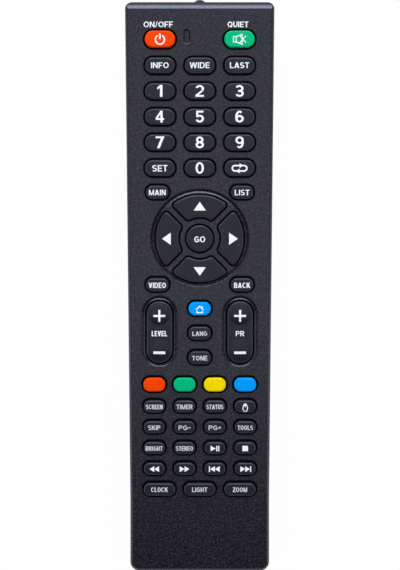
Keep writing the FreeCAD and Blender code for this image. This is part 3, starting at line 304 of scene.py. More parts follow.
def moulded_plastic():
    """Spark-eroded plastic: fine grain, tones that drift a little in colour, and dust specks."""
    recipe = Recipe(
        "casing_plastic", CASING_COLOUR, 0.25,
        Specular_IOR_Level=0.52, Specular_Tint=opaque(CASING_SHEEN),
    )
    mottle = recipe.noise_node(2.2 * CASING_GRAIN, detail=3.0, roughness=0.75)
    drift = recipe.mix(0.6, mottle.outputs["Color"], mottle.outputs["Fac"])
    drift = recipe.mix(1.0, drift, opaque(grey(MOTTLE_LEVEL)), "SUBTRACT")
    drift = recipe.mix(1.0, drift, opaque(grey(MOTTLE_GAIN)), "MULTIPLY")
    skin = recipe.mix(1.0, drift, opaque(CASING_COLOUR), "MULTIPLY")
    broad = recipe.tones(recipe.noise(28 * MM, detail=3.0), grey(0.88), grey(1.0))
    skin = recipe.mix(1.0, skin, broad, "MULTIPLY")
    dust = recipe.specks(CASING_DUST_SPACING, DUST_RADIUS, CASING_DUST_SHARE)
    recipe.colour_from(recipe.mix(dust, skin, opaque(CASING_DUST)))
    recipe.roughness_from(recipe.noise(2.0 * CASING_GRAIN, detail=3.0), 0.13, 0.37)
    head_end_gloss(recipe)
    dull_below(recipe, depth_share(recipe, WALL_START, WALL_FADE), WALL_DULLNESS)
    coarse = recipe.noise(2.4 * CASING_GRAIN, detail=3.0, roughness=0.7)
    coarse = recipe.bump(coarse, 3.5 * CASING_RELIEF)
    recipe.bump(recipe.noise(0.7 * CASING_GRAIN), CASING_RELIEF, coarse)
    return recipe.material


def key_rubber(name, colour, roughness, dust_share, sheen, edge_highlight_colour=None):
    """Soft silicone: a satin skin with a very fine grain and a little lint, lighter rounded edges
    as a painted highlight, and near black below the face as painted shade.
    """
    recipe = Recipe(
        name, colour, roughness, Specular_IOR_Level=0.36, Specular_Tint=opaque(sheen),
    )
    tone = recipe.noise(0.5 * MM, detail=3.0, roughness=0.6)
    skin = recipe.tones(tone, shade(colour, 0.9), shade(colour, 1.08), 0.35, 0.65)
    dust = recipe.specks(KEY_DUST_SPACING, DUST_RADIUS, dust_share)
    lint = tuple(0.55 * channel + 0.2 for channel in colour)
    skin = recipe.mix(dust, skin, opaque(lint))
    # The lighter rounded edges are a painted highlight, in patches
    if edge_highlight_colour:
        skin = recipe.mix(edge_share(recipe), skin, opaque(edge_highlight_colour))
    # Below the face the colour turns near black: painted shade in the gap round the key, and on
    # coloured keys also their black base
    deep = depth_share(recipe, SKIRT_START, SKIRT_FADE)
    recipe.colour_from(recipe.mix(deep, skin, opaque(SKIRT_SHADE_COLOUR)))
    recipe.roughness_from(recipe.noise(4 * MM), roughness - 0.04, roughness + 0.04)
    dull_below(recipe, deep, SKIRT_DULLNESS)
    recipe.bump(recipe.noise(0.12 * MM), 0.004 * MM)
    return recipe.material


def plain_rubber(name, colour):
    """Dull rubber with slightly uneven tones."""
    recipe = Recipe(name, colour, 0.6, Specular_IOR_Level=0.12)
    tone = recipe.noise(1.5 * MM, detail=4.0)
    recipe.colour_from(recipe.tones(tone, shade(colour, 0.85), shade(colour, 1.15)))
    recipe.bump(recipe.noise(0.2 * MM), 0.01 * MM)
    return recipe.material


def board_laminate():
    """Green solder mask over glass cloth, with the copper tracks showing as darker bands."""
    recipe = Recipe("board_laminate", BOARD_COLOUR, 0.3, Coat_Weight=0.3)
    cells = recipe.cells(TRACK_CELL, distance="CHEBYCHEV")
    cells.inputs["Randomness"].default_value = 0.85
    turns = recipe.math("MULTIPLY", cells.outputs["Distance"], TRACKS_PER_CELL)
    tracks = recipe.ramp(recipe.math("FRACT", turns, 0.0), [
        (0.0, MASK_COLOUR), (0.5, MASK_COLOUR), (0.56, TRACK_COLOUR), (0.94, TRACK_COLOUR),
        (1.0, MASK_COLOUR),
    ])
    weave = recipe.tones(recipe.noise(0.5 * MM), grey(0.85), grey(1.0))
    recipe.colour_from(recipe.mix(1.0, tracks, weave, "MULTIPLY"))
    recipe.bump(tracks, 0.02 * MM)
    return recipe.material


def component_epoxy():
    """Black moulding compound of the parts on the board."""
    recipe = Recipe("component_plastic", (0.02, 0.02, 0.021), 0.45)
    tone = recipe.noise(0.3 * MM, detail=3.0)
    recipe.colour_from(recipe.tones(tone, grey(0.015), grey(0.03)))
    recipe.bump(recipe.noise(0.1 * MM), 0.01 * MM)
    return recipe.material


def diode_resin():
    """Clear resin with a violet tint, and faint flow marks inside it."""
    recipe = Recipe(
        "diode_resin", (0.02, 0.016, 0.02), 0.12, Transmission_Weight=0.3, IOR=1.5,
    )
    tone = recipe.noise(1.2 * MM)
    recipe.colour_from(recipe.tones(tone, (0.015, 0.011, 0.014), (0.03, 0.022, 0.026)))
    recipe.bump(recipe.noise(0.8 * MM), 0.004 * MM)
    return recipe.material


def window_plastic():
    """The glossy dark lens of the indicator."""
    recipe = Recipe("window_plastic", (0.005, 0.005, 0.007), 0.22, Specular_IOR_Level=0.46)
    tone = recipe.noise(2 * MM)
    recipe.colour_from(recipe.tones(tone, (0.004, 0.004, 0.006), (0.006, 0.006, 0.008)))
    recipe.bump(recipe.noise(0.6 * MM), 0.004 * MM)
    return recipe.material


def metal(name, colour, roughness, scratch):
    """Plated steel with fine drawn scratches along Y."""
    recipe = Recipe(name, colour, roughness, Metallic=1.0)
    stretch = recipe.node("ShaderNodeMapping")
    stretch.inputs["Scale"].default_value = (1.0, 0.08, 1.0)
    recipe.link(recipe.place, stretch.inputs["Vector"])
    tone = recipe.noise(scratch, place=stretch.outputs["Vector"])
    recipe.colour_from(recipe.tones(tone, shade(colour, 0.86), shade(colour, 1.04)))
    recipe.roughness_from(tone, roughness - 0.06, roughness + 0.08)
    recipe.bump(tone, 0.01 * MM)
    return recipe.material


def battery_wrap():
    """A teal wrap with a pale band at each cell's positive end."""
    recipe = Recipe("cell_jacket", JACKET_COLOUR, 0.3, Metallic=0.3)
    right = recipe.math("GREATER_THAN", recipe.axis(recipe.place, "X"), 0.0)
    side = recipe.math("SUBTRACT", right, 0.5)
    from_middle = recipe.math("SUBTRACT", recipe.axis(recipe.place, "Y"), CELL_MIDDLE_Y)
    along = recipe.math("MULTIPLY", recipe.math("MULTIPLY", side, from_middle), -1.0 / CELL_HALF)
    line_end = BAND_START + BAND_BLEND + BAND_LINE
    wrap = recipe.ramp(recipe.math("ADD", along, 0.5), [
        (0.0, JACKET_COLOUR), (BAND_START, JACKET_COLOUR),
        (BAND_START + BAND_BLEND, JACKET_LINE), (line_end, JACKET_LINE),
        (line_end + BAND_BLEND, JACKET_BAND), (1.0, JACKET_BAND),
    ])
    tone = recipe.tones(recipe.noise(0.8 * MM), grey(0.9), grey(1.0))
    recipe.colour_from(recipe.mix(1.0, wrap, tone, "MULTIPLY"))
    recipe.bump(recipe.noise(0.5 * MM), 0.006 * MM)
    return recipe.material


def print_ink(name, colour):
    """Screen print: slightly uneven white."""
    recipe = Recipe(name, colour, 0.55)
    recipe.colour_from(recipe.tones(recipe.noise(0.25 * MM), shade(colour, 0.95), colour))
    recipe.bump(recipe.noise(0.1 * MM), 0.003 * MM)
    return recipe.material


MATERIALS = {
    "casing_plastic": moulded_plastic(),
    "key_rubber": key_rubber(
        "key_rubber", KEY_COLOUR, KEY_ROUGHNESS, KEY_DUST_SHARE, KEY_SHEEN, KEY_EDGE_HIGHLIGHT_COLOUR,
    ),
    **{
        name: key_rubber(name, colour, COLOURED_ROUGHNESS, COLOURED_DUST_SHARE, sheen)
        for name, (colour, sheen) in COLOURED_RUBBERS.items()
    },
    "mat_rubber": plain_rubber("mat_rubber", MAT_COLOUR),
    "mat_black": plain_rubber("mat_black", GAP_COLOUR),
    "board_laminate": board_laminate(),
    "component_plastic": component_epoxy(),
    "diode_resin": diode_resin(),
    "window_plastic": window_plastic(),
    "screw_steel": metal("screw_steel", SCREW_COLOUR, 0.32, 0.2 * MM),
    "contact_steel": metal("contact_steel", CONTACT_COLOUR, 0.22, 0.3 * MM),
    "cell_jacket": battery_wrap(),
}
INK = print_ink("white_ink", WHITE)
SOFT_INK = print_ink("soft_white_ink", shade(WHITE, SOFT_WHITE_SHARE))

for node in NODES.values():
    for slot in node.material_slots:
        slot.material = MATERIALS[slot.material.name.split(".")[0]]


# Objects, and places on the solids


def placed(name, shape, material):
    """Makes an object of a shape, in one material."""
    mesh = bpy.data.meshes.new(name)
    shape.to_mesh(mesh)
    shape.free()
    mesh.materials.append(material)
    made = bpy.data.objects.new(name, mesh)
    bpy.context.scene.collection.objects.link(made)
    return made


def middle_of(node):
    low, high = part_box(node)
    return (low.x + high.x) / 2, (low.y + high.y) / 2


def extent(points):
    """The lowest and the highest corner of points, seen from above."""
    return [
        Vector([pick(point[axis] for point in points) for axis in (0, 1)]) for pick in (min, max)
    ]


def pairs(ring):
    """Each item of a closed ring with the one after it."""
    return zip(ring, [*ring[1:], ring[0]])


# Flat outlines, in millimetres

# At a sharp bend a joint grows no further than where the cosine of half its turn is this
MITRE_LIMIT = 0.35


def block(x_low, x_high, y_low, y_high):
    return [(x_low, y_low), (x_high, y_low), (x_high, y_high), (x_low, y_high)]


def moved(outline, x, y=0.0):
    return [(a + x, b + y) for a, b in outline]


def triangle(width, height, angle):
    """A solid triangle that points at an angle from +X."""
    turn = math.radians(angle)
    cosine, sine = math.cos(turn), math.sin(turn)
    corners = ((height / 2, 0), (-height / 2, width / 2), (-height / 2, -width / 2))
    return [(x * cosine - y * sine, x * sine + y * cosine) for x, y in corners]


def arc(radius, start, stop, steps, middle=(0.0, 0.0)):
    """Points along an arc, with its angles in degrees."""
    points = []
    for number in range(steps + 1):
        angle = math.radians(start + (stop - start) * number / steps)
        points.append(
            (middle[0] + radius * math.cos(angle), middle[1] + radius * math.sin(angle))
        )
    return points


def strip(points, width, closed=False):
    """A band of a width along points, as four-cornered faces with mitred joints."""
    count = len(points)
    path = [Vector(point) for point in points]
    left, right = [], []
    for number, point in enumerate(path):
        ways = []
        if closed or number:
            ways.append((point - path[number - 1]).normalized())
        if closed or number < count - 1:
            ways.append((path[(number + 1) % count] - point).normalized())
        way = sum(ways, Vector((0, 0))).normalized()
        side = Vector((-way.y, way.x))
        reach = width / 2 / max(MITRE_LIMIT, way.dot(ways[0]))
        left.append(point + side * reach)
        right.append(point - side * reach)
    last = count if closed else count - 1
    return [
        [right[n], right[(n + 1) % count], left[(n + 1) % count], left[n]] for n in range(last)
    ]


# Printed marks: each is drawn flat in millimetres, then laid on the surface under it

INK_ABOVE = 0.03 * MM
INK_BELOW = 0.03 * MM
TREES = {}

# In millimetres: how near two corners are one, and the longest edge of a print on a hollow top
WELD = 0.0005
LONGEST_EDGE = 0.35
CUT_ROUNDS = 6


def left_turning(outline):
    """The same corners, in the order that keeps the inside on the left."""
    area = sum(one[0] * two[1] - two[0] * one[1] for one, two in pairs(outline))
    return outline if area > 0 else outline[::-1]


def flat(outlines):
    """A flat shape that covers the outlines, in millimetres, also where they overlap."""
    points, rings = [], []
    for outline in map(left_turning, outlines):
        rings.append(list(range(len(points), len(points) + len(outline))))
        points.extend(Vector(point[:2]) for point in outline)
    found = geometry.delaunay_2d_cdt(points, [], rings, 0, WELD)
    shape = bmesh.new()
    verts = [shape.verts.new((*point, 0)) for point in found[0]]
    for corners, owners in zip(found[2], found[5]):
        if owners:
            shape.faces.new([verts[corner] for corner in corners])
    loose = [vert for vert in shape.verts if not vert.link_faces]
    bmesh.ops.delete(shape, geom=loose, context="VERTS")
    return shape


def refine(shape):
    """Cuts the faces until no edge is longer than LONGEST_EDGE millimetres."""
    for _ in range(CUT_ROUNDS):
        long_edges = [edge for edge in shape.edges if edge.calc_length() > LONGEST_EDGE]
        if not long_edges:
            return
        bmesh.ops.subdivide_edges(shape, edges=long_edges, cuts=1)
        bmesh.ops.triangulate(shape, faces=shape.faces[:])


def thicken(shape, down):
    """Closes a sheet of faces into a thin solid."""
    for face in shape.faces:
        face.normal_update()
        if face.normal.z < 0:
            face.normal_flip()
    grown = bmesh.ops.extrude_face_region(shape, geom=shape.faces[:])
    lower = [item for item in grown["geom"] if isinstance(item, bmesh.types.BMVert)]
    bmesh.ops.translate(shape, verts=lower, vec=down)
    bmesh.ops.recalc_face_normals(shape, faces=shape.faces[:])


def surface(node):
    """A tree of a node's faces, to lay marks on."""
    if node not in TREES:
        mesh = NODES[node].data
        points = [vertex.co for vertex in mesh.vertices]
        TREES[node] = BVHTree.FromPolygons(points, [face.vertices for face in mesh.polygons])
    return TREES[node]


def lay(name, shape, node, body, x, y, ink):
    """Lays a flat shape on a node's top with its origin at x, y, as a thin closed print."""
    tree = surface(node)
    for vertex in shape.verts:
        spot = Vector((x + vertex.co.x * MM, y + vertex.co.y * MM, 1.0))
        hit = tree.ray_cast(spot, Vector((0, 0, -1)))[0]
        vertex.co = (spot.x, spot.y, (hit.z if hit else KEY_TOP_Z) + INK_ABOVE)
    thicken(shape, Vector((0, 0, -(INK_ABOVE + INK_BELOW))))
    made = placed(name, shape, ink)
    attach(made, body)


def mark(node, shape, dx=0.0, dy=0.0, at=None, name=None, body=None, ink=INK, fine=False):
    """Prints a shape on a node, dx and dy mm from its middle or from the place at."""
    x, y = at or middle_of(node)
    if fine:
        refine(shape)
    lay(f"{name or node}_print", shape, node, body or node, x + dx * MM, y + dy * MM, ink)


# Lettering: a bold sans of our own, with its capitals 1 high

STEM = 0.192
BAR = 0.156
LETTER_GAP = 0.13
BOWL_STEPS = 14
GLYPH_WIDTHS = {
    "A": 0.96, "B": 0.84, "C": 0.9, "D": 0.88, "E": 0.74, "F": 0.7, "G": 0.94, "H": 0.84,
    "I": STEM, "K": 0.9, "L": 0.7, "M": 1.06, "N": 0.86, "O": 0.96, "P": 0.8, "Q": 0.98,
    "R": 0.88, "S": 0.8, "T": 0.8, "U": 0.84, "V": 0.92, "W": 1.3, "Z": 0.78, "/": 0.42,
    "+": 0.6, "-": 0.5, "1": 0.44,
}
DIGIT_WIDTH = 0.72


def bowl(wide, low, high, start, stop, x=None):
    """Part of an oval band between two heights, from an angle to another, as quads."""
    middle = (wide / 2 if x is None else x, (low + high) / 2)
    outer = (wide - middle[0], (high - low) / 2)
    inner = (outer[0] - STEM, outer[1] - BAR)
    rims = []
    for step in range(BOWL_STEPS + 1):
        angle = math.radians(start + (stop - start) * step / BOWL_STEPS)
        rims.append([
            (middle[0] + rim[0] * math.cos(angle), middle[1] + rim[1] * math.sin(angle))
            for rim in (outer, inner)
        ])
    return [[one[0], two[0], two[1], one[1]] for one, two in zip(rims, rims[1:])]


def lobe(wide, low, high):
    """The right-hand loop of a D, B, P or R."""
    turn = max(STEM, wide - min(wide * 0.5, (high - low) * 0.5))
    return [
        block(0, turn, low, low + BAR), block(0, turn, high - BAR, high),
        *bowl(wide, low, high, -90, 90, x=turn),
    ]


def leg(low_x, high_x, wide=1.12 * STEM, low=0.0, high=1.0):
    """A slanting stroke whose left side goes from low_x up to high_x."""
    return [(low_x, low), (low_x + wide, low), (high_x + wide, high), (high_x, high)]


def glyph(letter, w):
    """The strokes of one letter, w wide."""
    s, b = STEM, BAR
    foot = 1.12 * s
    waist = 0.5 + b / 2
    left = block(0, s, 0, 1)
    right = block(w - s, w, 0, 1)
    top = block(0, w, 1 - b, 1)
    base = block(0, w, 0, b)
    oval = bowl(w, 0, 1, 0, 360)
    half = w / 2
    shapes = {
        "A": [leg(0, half - foot / 2), leg(w - foot, half - foot / 2),
              block(0.2 * w, 0.8 * w, 0.2, 0.2 + b)],
        "B": [left, *lobe(0.94 * w, 1 - waist, 1), *lobe(w, 0, waist)],
        "C": bowl(w, 0, 1, 42, 318),
        "D": [left, *lobe(w, 0, 1)],
        "E": [left, top, base, block(0, 0.92 * w, 0.5 - b / 2, waist)],
        "F": [left, top, block(0, 0.88 * w, 0.46 - b / 2, 0.46 + b / 2)],
        "G": [*bowl(w, 0, 1, 42, 322), block(w - s, w, 0.14, 0.5),
              block(half, w, 0.53 - b, 0.53)],
        "H": [left, right, block(0, w, 0.5 - b / 2, waist)],
        "I": [left],
        "K": [left, [(s, 0.32), (w, 1), (w - 1.35 * s, 1), (s, 0.6)],
              [(0.36 * w, 0.48), (0.36 * w + s, 0.68), (w, 0), (w - 1.25 * s, 0)]],
        "L": [left, base],
        "M": [block(0, 0.86 * s, 0, 1), block(w - 0.86 * s, w, 0, 1),
              leg(half - 0.45 * s, 0, 0.9 * s), leg(half - 0.45 * s, w - 0.9 * s, 0.9 * s)],
        "N": [left, right, leg(w - foot, 0)],
        "O": oval,
        "P": [left, *lobe(w, 0.4, 1)],
        "Q": [*oval, [(0.5 * w, 0.26), (0.64 * w, 0.36), (w, 0.03), (0.88 * w, -0.08)]],
        "R": [left, *lobe(0.96 * w, 0.42, 1), leg(w - 1.2 * s, 0.36 * w, 1.2 * s, 0, 0.5)],
        "S": [*bowl(w, 1 - waist, 1, 28, 270), *bowl(w, 0, waist, -152, 90)],
        "T": [top, block(half - s / 2, half + s / 2, 0, 1)],
        "U": [block(0, s, 0.4, 1), block(w - s, w, 0.4, 1), *bowl(w, 0, 0.8, 180, 360)],
        "V": [leg(half - foot / 2, 0), leg(half - foot / 2, w - foot)],
        "W": [leg(0.26 * w - s / 2, 0, s), leg(0.26 * w - s / 2, half - s / 2, s),
              leg(0.74 * w - s / 2, half - s / 2, s), leg(0.74 * w - s / 2, w - s, s)],
        "Z": [top, base, leg(0, w - 1.3 * s, 1.3 * s, b, 1 - b)],
        "/": [leg(0, w - 0.7 * s, 0.7 * s)],
        "+": [block(0, w, 0.5 - b / 2, waist),
              block(half - b / 2, half + b / 2, 0.5 - half, 0.5 + half)],
        "-": [block(0, w, 0.5 - b / 2, waist)],
        "0": oval,
        "1": [block(w - 1.1 * s, w, 0, 1),
              [(w - 1.1 * s, 1), (w - 1.1 * s, 0.76), (0, 0.62), (0, 0.8)]],
        "2": [*bowl(w, 0.4, 1, -34, 165), base,
              [(0, b), (1.25 * s, b), (0.97 * w, 0.53), (0.66 * w, 0.53)]],
        "3": [*bowl(0.97 * w, 1 - waist, 1, -90, 158), *bowl(w, 0, waist, -160, 90),
              block(0.34 * w, 0.5 * w, 0.5 - b / 2, waist)],
        "4": [block(0.56 * w, 0.56 * w + s, 0, 1), block(0, w, 0.22, 0.22 + b),
              [(0, 0.22 + b), (0.26 * w, 0.22 + b), (0.56 * w + 0.5 * s, 0.86), (0.56 * w, 1)]],
        "5": [block(0.12 * w, 0.94 * w, 1 - b, 1), block(0.08 * w, 0.08 * w + 0.9 * s, 0.46, 1),
              *bowl(w, 0, 0.66, -160, 138)],
        "6": [*bowl(w, 0, 0.64, 0, 360), *bowl(w, 0, 1, 52, 188)],
        "7": [top, leg(0.16 * w, w - 1.25 * s, 1.2 * s, 0, 1 - b / 2)],
        "8": [*bowl(0.94 * w, 1 - waist, 1, 0, 360, x=half), *bowl(w, 0, waist, 0, 360)],
    }
    if letter == "9":
        return [[(w - x, 1 - y) for x, y in stroke] for stroke in glyph("6", w)]
    return shapes[letter]


def word(text, height, width=None):
    """A word's flat shape about its middle, height mm tall, narrowed to width mm if given."""
    natural = [GLYPH_WIDTHS.get(letter, DIGIT_WIDTH) for letter in text]
    stems = [STEM if letter == "I" else 0 for letter in text]
    spare = sum(natural) - sum(stems) + LETTER_GAP * (len(text) - 1)
    squeeze = (width / height - sum(stems)) / spare if width else 1.0
    total = width / height if width else sum(natural) + LETTER_GAP * (len(text) - 1)
    outlines, x = [], -total / 2
    for letter, wide, stem in zip(text, natural, stems):
        wide = stem or wide * squeeze
        for stroke in glyph(letter, wide):
            outlines.append([((x + a) * height, (b - 0.5) * height) for a, b in stroke])
        x += wide + LETTER_GAP * squeeze
    return flat(outlines)


# Words on the keys: node, word, height, width and place above the key's middle, in millimetres
WORDS = (
    ("info_key", "INFO", 2.05, 6.2, 0.0),
    ("mode_key", "WIDE", 2.1, 7.0, 0.0),
    ("recall_key", "LAST", 2.05, 6.8, 0.0),
    ("set_key", "SET", 2.25, 5.4, -0.1),
    ("menu_key", "MAIN", 1.95, 5.9, -0.1),
    ("channels_key", "LIST", 1.95, 5.2, -0.1),
    ("video_key", "VIDEO", 1.9, 6.1, -0.2),
    ("back_key", "BACK", 1.9, 5.7, -0.2),
    ("ok_key", "GO", 2.1, 3.8, -0.3),
    ("language_key", "LANG", 1.62, 5.2, -0.1),
    ("sound_key", "TONE", 1.62, 5.4, -0.1),
    ("screen_key", "SCREEN", 1.62, 5.9, -0.1),
    ("timer_key", "TIMER", 1.62, 5.7, -0.1),
    ("status_key", "STATUS", 1.62, 5.9, -0.1),
    ("skip_key", "SKIP", 1.62, 4.3, -0.1),
    ("page_back_key", "PG-", 1.62, 4.2, -0.1),
    ("page_next_key", "PG+", 1.62, 4.4, -0.1),
    ("tools_key", "TOOLS", 1.62, 5.4, -0.1),
    ("bright_key", "BRIGHT", 1.62, 6.0, -0.1),
    ("stereo_key", "STEREO", 1.62, 6.0, -0.1),
    ("volume_rocker", "LEVEL", 1.85, 5.4, -0.5),
    ("channel_rocker", "PR", 1.85, 3.0, -0.5),
)
SMALL_WORD = 1.8
DIGIT_HEIGHT = 4.15

# Words of the last row of keys, each with its width
SERVICE_WORDS = (("CLOCK", 5.9), ("LIGHT", 5.4), ("ZOOM", 5.0))
SERVICE_HEIGHT = 1.65

# Words on the face above the top keys: key, word, width and place right of the key's middle
FACE_WORDS = (("power_key", "ON/OFF", 10.4, -0.6), ("mute_key", "QUIET", 7.4, -0.5))
FACE_WORD_HEIGHT = 2.0
FACE_WORD_UP = 5.3


def key_places(node, width, count):
    """The middles of a row's keys that are one node, for keys of a width."""
    low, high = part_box(node)
    pitch = (high.x - low.x - width) / (count - 1)
    x, y = middle_of(node)
    return [(x + pitch * (number - (count - 1) / 2), y) for number in range(count)]


def print_words():
    for node, text, height, width, up in WORDS:
        ink = SOFT_INK if height < SMALL_WORD else INK
        mark(node, word(text, height, width), dy=up, name=f"{node}_word", ink=ink)
    for digit in range(10):
        mark(f"digit_{digit}_key", word(str(digit), DIGIT_HEIGHT))
    places = key_places("service_keys", SERVICE_KEY_WIDTH, len(SERVICE_WORDS))
    for number, ((text, width), at) in enumerate(zip(SERVICE_WORDS, places)):
        shape = word(text, SERVICE_HEIGHT, width)
        mark("service_keys", shape, at=at, name=f"service_{number}", ink=SOFT_INK)


def print_face():
    for node, text, width, dx in FACE_WORDS:
        shape = word(text, FACE_WORD_HEIGHT, width)
        mark("front_cover", shape, dx, FACE_WORD_UP, middle_of(node), f"{node}_label", "root")


# Symbols, in millimetres about their own middle


def power_symbol():
    return [*strip(arc(1.6, 120, 420, 40, (0.0, -0.25)), 0.48), block(-0.27, 0.27, -0.1, 1.9)]


def mute_symbol():
    line = 0.32
    return [
        *strip(block(-2.15, -1.15, -0.95, 0.95), line, closed=True),
        *strip([(-1.15, 0.95), (0.9, 1.75), (0.9, -1.75), (-1.15, -0.95)], line),
        *strip([(0.1, 1.2), (2.25, -1.2)], line), *strip([(0.1, -1.2), (2.25, 1.2)], line),
    ]


def swap_symbol():
    line = 0.56
    hook = [(-0.4, -0.95), *arc(0.95, 270, 90, 14, (-1.6, 0.0)), (0.1, 0.95)]
    upper = [*strip(hook, line), moved(triangle(1.75, 1.2, 0), 0.6, 0.95)]
    return upper + [[(-x, -y) for x, y in outline] for outline in upper]


def home_symbol():
    return [
        *strip([(-1.35, -0.05), (0.0, 1.15), (1.35, -0.05)], 0.4),
        block(0.62, 0.98, 0.5, 1.2),
        *strip([(-0.95, -0.35), (-0.95, -1.1), (0.95, -1.1), (0.95, -0.35)], 0.38),
    ]


def pointer_symbol():
    shell = strip(arc(0.8, 90, 450, 26), 0.32)
    return [
        *[[(x, y * 1.55 - 0.25) for x, y in outline] for outline in shell],
        block(-0.15, 0.15, 0.0, 0.85), block(-0.42, 0.42, 0.86, 1.35),
    ]


def play_pause_symbol():
    bars = [block(x, x + 0.42, -0.98, 0.98) for x in (0.45, 1.15)]
    return [moved(triangle(1.96, 1.75, 0), -0.6), *bars]


def stop_symbol():
    return [block(-1.0, 1.0, -0.95, 0.95)]


def wind_symbol(way, bar):
    """Two triangles that point along way, with a bar in front for a skip."""
    turn = 0 if way > 0 else 180
    marks = [moved(triangle(2.05, 1.72, turn), x) for x in (-0.85, 0.85)]
    if bar:
        marks.append(block(*sorted((way * 1.72, way * 2.12)), -1.02, 1.02))
    return marks


def plus_symbol():
    return [block(-2.1, 2.1, -0.37, 0.37), block(-0.37, 0.37, -2.1, 2.1)]


def minus_symbol():
    return [block(-2.1, 2.1, -0.46, 0.46)]


# Symbols on keys of their own: node, symbol and place above the key's middle
SYMBOLS = (
    ("power_key", power_symbol, 0.0),
    ("mute_key", mute_symbol, -0.15),
    ("swap_key", swap_symbol, -0.1),
    ("home_key", home_symbol, -0.3),
    ("pointer_key", pointer_symbol, -0.25),
    ("play_pause_key", play_pause_symbol, -0.1),
    ("stop_key", stop_symbol, -0.1),
)

# Winding signs of the playback row: which way they point, and whether they have a bar
WINDS = ((-1, False), (1, False), (-1, True), (1, True))
WIND_UP = -0.02

# Arrows of the cursor pads: node, angle, and place right of and above the centre key's middle
ARROWS = (
    ("up_key", 90, 0.0, 11.35),
    ("left_key", 180, -11.7, -0.1),
    ("down_key", 270, 0.0, -11.6),
    ("right_key", 0, 11.85, -0.1),
)
ARROW_WIDTH = 4.3
ARROW_HEIGHT = 3.05
PLUS_UP = 5.75
MINUS_UP = -7.2


def print_symbols():
    for node, symbol, up in SYMBOLS:
        mark(node, flat(symbol()), dy=up)
    places = key_places("playback_keys", PLAYBACK_KEY_WIDTH, len(WINDS))
    for number, (wind, at) in enumerate(zip(WINDS, places)):
        shape = flat(wind_symbol(*wind))
        mark("playback_keys", shape, dy=WIND_UP, at=at, name=f"playback_{number}")
    centre = middle_of("ok_key")
    for node, angle, dx, dy in ARROWS:
        mark(node, flat([triangle(ARROW_WIDTH, ARROW_HEIGHT, angle)]), dx, dy, centre)
    for node in ("volume_rocker", "channel_rocker"):
        mark(node, flat(plus_symbol()), dy=PLUS_UP, name=f"{node}_plus", fine=True)
        mark(node, flat(minus_symbol()), dy=MINUS_UP, name=f"{node}_minus", fine=True)


print_words()
print_symbols()
print_face()


# Small trim

SLOT_STEPS = 32
EDGE_DEPTH = 0.02 * MM

# The painted shade round the indicator's lens, and the bevel of the indicator
GAP_SHADE_WIDTH = 0.34 * MM
LIP_WIDTH = 0.32 * MM
LIP_RISE = 0.13 * MM

# The sloped edge of a sunk rim, and the black line of painted shade along it. A lean shifts a
# side towards +Y, so that the trim is wider at one end of the rim than at the other.
RIM_EDGE = 0.24 * MM
RIM_FALL = 0.13 * MM
RIM_FLUSH = 0.1 * MM
RIM_LEAN = 0.24 * MM
LINE_WIDTH = 0.2 * MM
LINE_REACH = 0.14 * MM
LINE_LEAN = 0.16 * MM

# Painted shade along the edge of a key opening, wider on the side towards +Y
OPENING_EDGE = 0.13 * MM
OPENING_EDGE_LEAN = 0.1 * MM
CORNER_LIMIT = 0.5

# The Z of a face's normal, below which the face is a wall and above which it is level
WALL_NORMAL = 0.2
LEVEL_NORMAL = 0.99

# The keys with a sunk rim round them, and how far out its floor is looked for: from the middle
# of the centre key, and from the sides of a rocker
RIMS = (
    ("cursor_rim_edge", "ok_key"),
    ("volume_rim_edge", "volume_rocker"),
    ("channel_rim_edge", "channel_rocker"),
)
CURSOR_REACH = 19 * MM
ROCKER_REACH = 3 * MM


def finished(name, shape, material, body):
    """Makes an object of a shape and lets it ride on a body."""
    bmesh.ops.recalc_face_normals(shape, faces=shape.faces[:])
    made = placed(name, shape, material)
    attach(made, body)


def join_rings(shape, stations):
    """Joins a closed row of corner rings by four-cornered faces."""
    for one, two in pairs(stations):
        for (near, near_next), (far, far_next) in zip(pairs(one), pairs(two)):
            shape.faces.new([near, near_next, far_next, far])


def slot_ring(name, low, high, profile, material, body):
    """A ring round an upright slot; profile is (distance from it, height, shift to +Y)."""
    radius = (high.x - low.x) / 2
    reach = (high.y - low.y) / 2 - radius
    middle = Vector(((low.x + high.x) / 2, (low.y + high.y) / 2))
    shape = bmesh.new()
    stations = []
    for end in (0, 1):
        start = middle + Vector((0, reach - 2 * reach * end))
        for step in range(SLOT_STEPS + 1):
            angle = math.pi * (end + step / SLOT_STEPS)
            way = Vector((math.cos(angle), math.sin(angle)))
            spots = [start + way * (radius + distance) for distance, _, _ in profile]
            stations.append([
                shape.verts.new((spot.x, spot.y + shift, height))
                for spot, (_, height, shift) in zip(spots, profile)
            ])
    join_rings(shape, stations)
    finished(name, shape, material, body)


def window_trim():
    """A black ring of painted shade round the indicator's lens, and the bevel that leads down to
    it.
    """
    points = [vertex.co for vertex in NODES["indicator_window"].data.vertices]
    lens_z = max(point.z for point in points)
    low, high = extent([point for point in points if point.z > lens_z - EDGE_DEPTH])
    gap_shade = [
        (-GAP_SHADE_WIDTH, lens_z - EDGE_DEPTH, 0), (-GAP_SHADE_WIDTH, lens_z + EDGE_DEPTH, 0),
        (EDGE_DEPTH, lens_z + EDGE_DEPTH, 0), (EDGE_DEPTH, lens_z - EDGE_DEPTH, 0),
    ]
    # The black ring is painted shade in the gap round the lens
    slot_ring("window_gap_shade", low, high, gap_shade, MATERIALS["mat_black"], "root")
    lip = [
        (0.0, lens_z, 0), (0.0, FACE_Z - EDGE_DEPTH, 0), (LIP_WIDTH, FACE_Z + LIP_RISE, 0),
        (1.15 * LIP_WIDTH, FACE_Z - EDGE_DEPTH, 0), (1.1 * LIP_WIDTH, lens_z, 0),
    ]
    slot_ring("window_lip", low, high, lip, MATERIALS["casing_plastic"], "root")


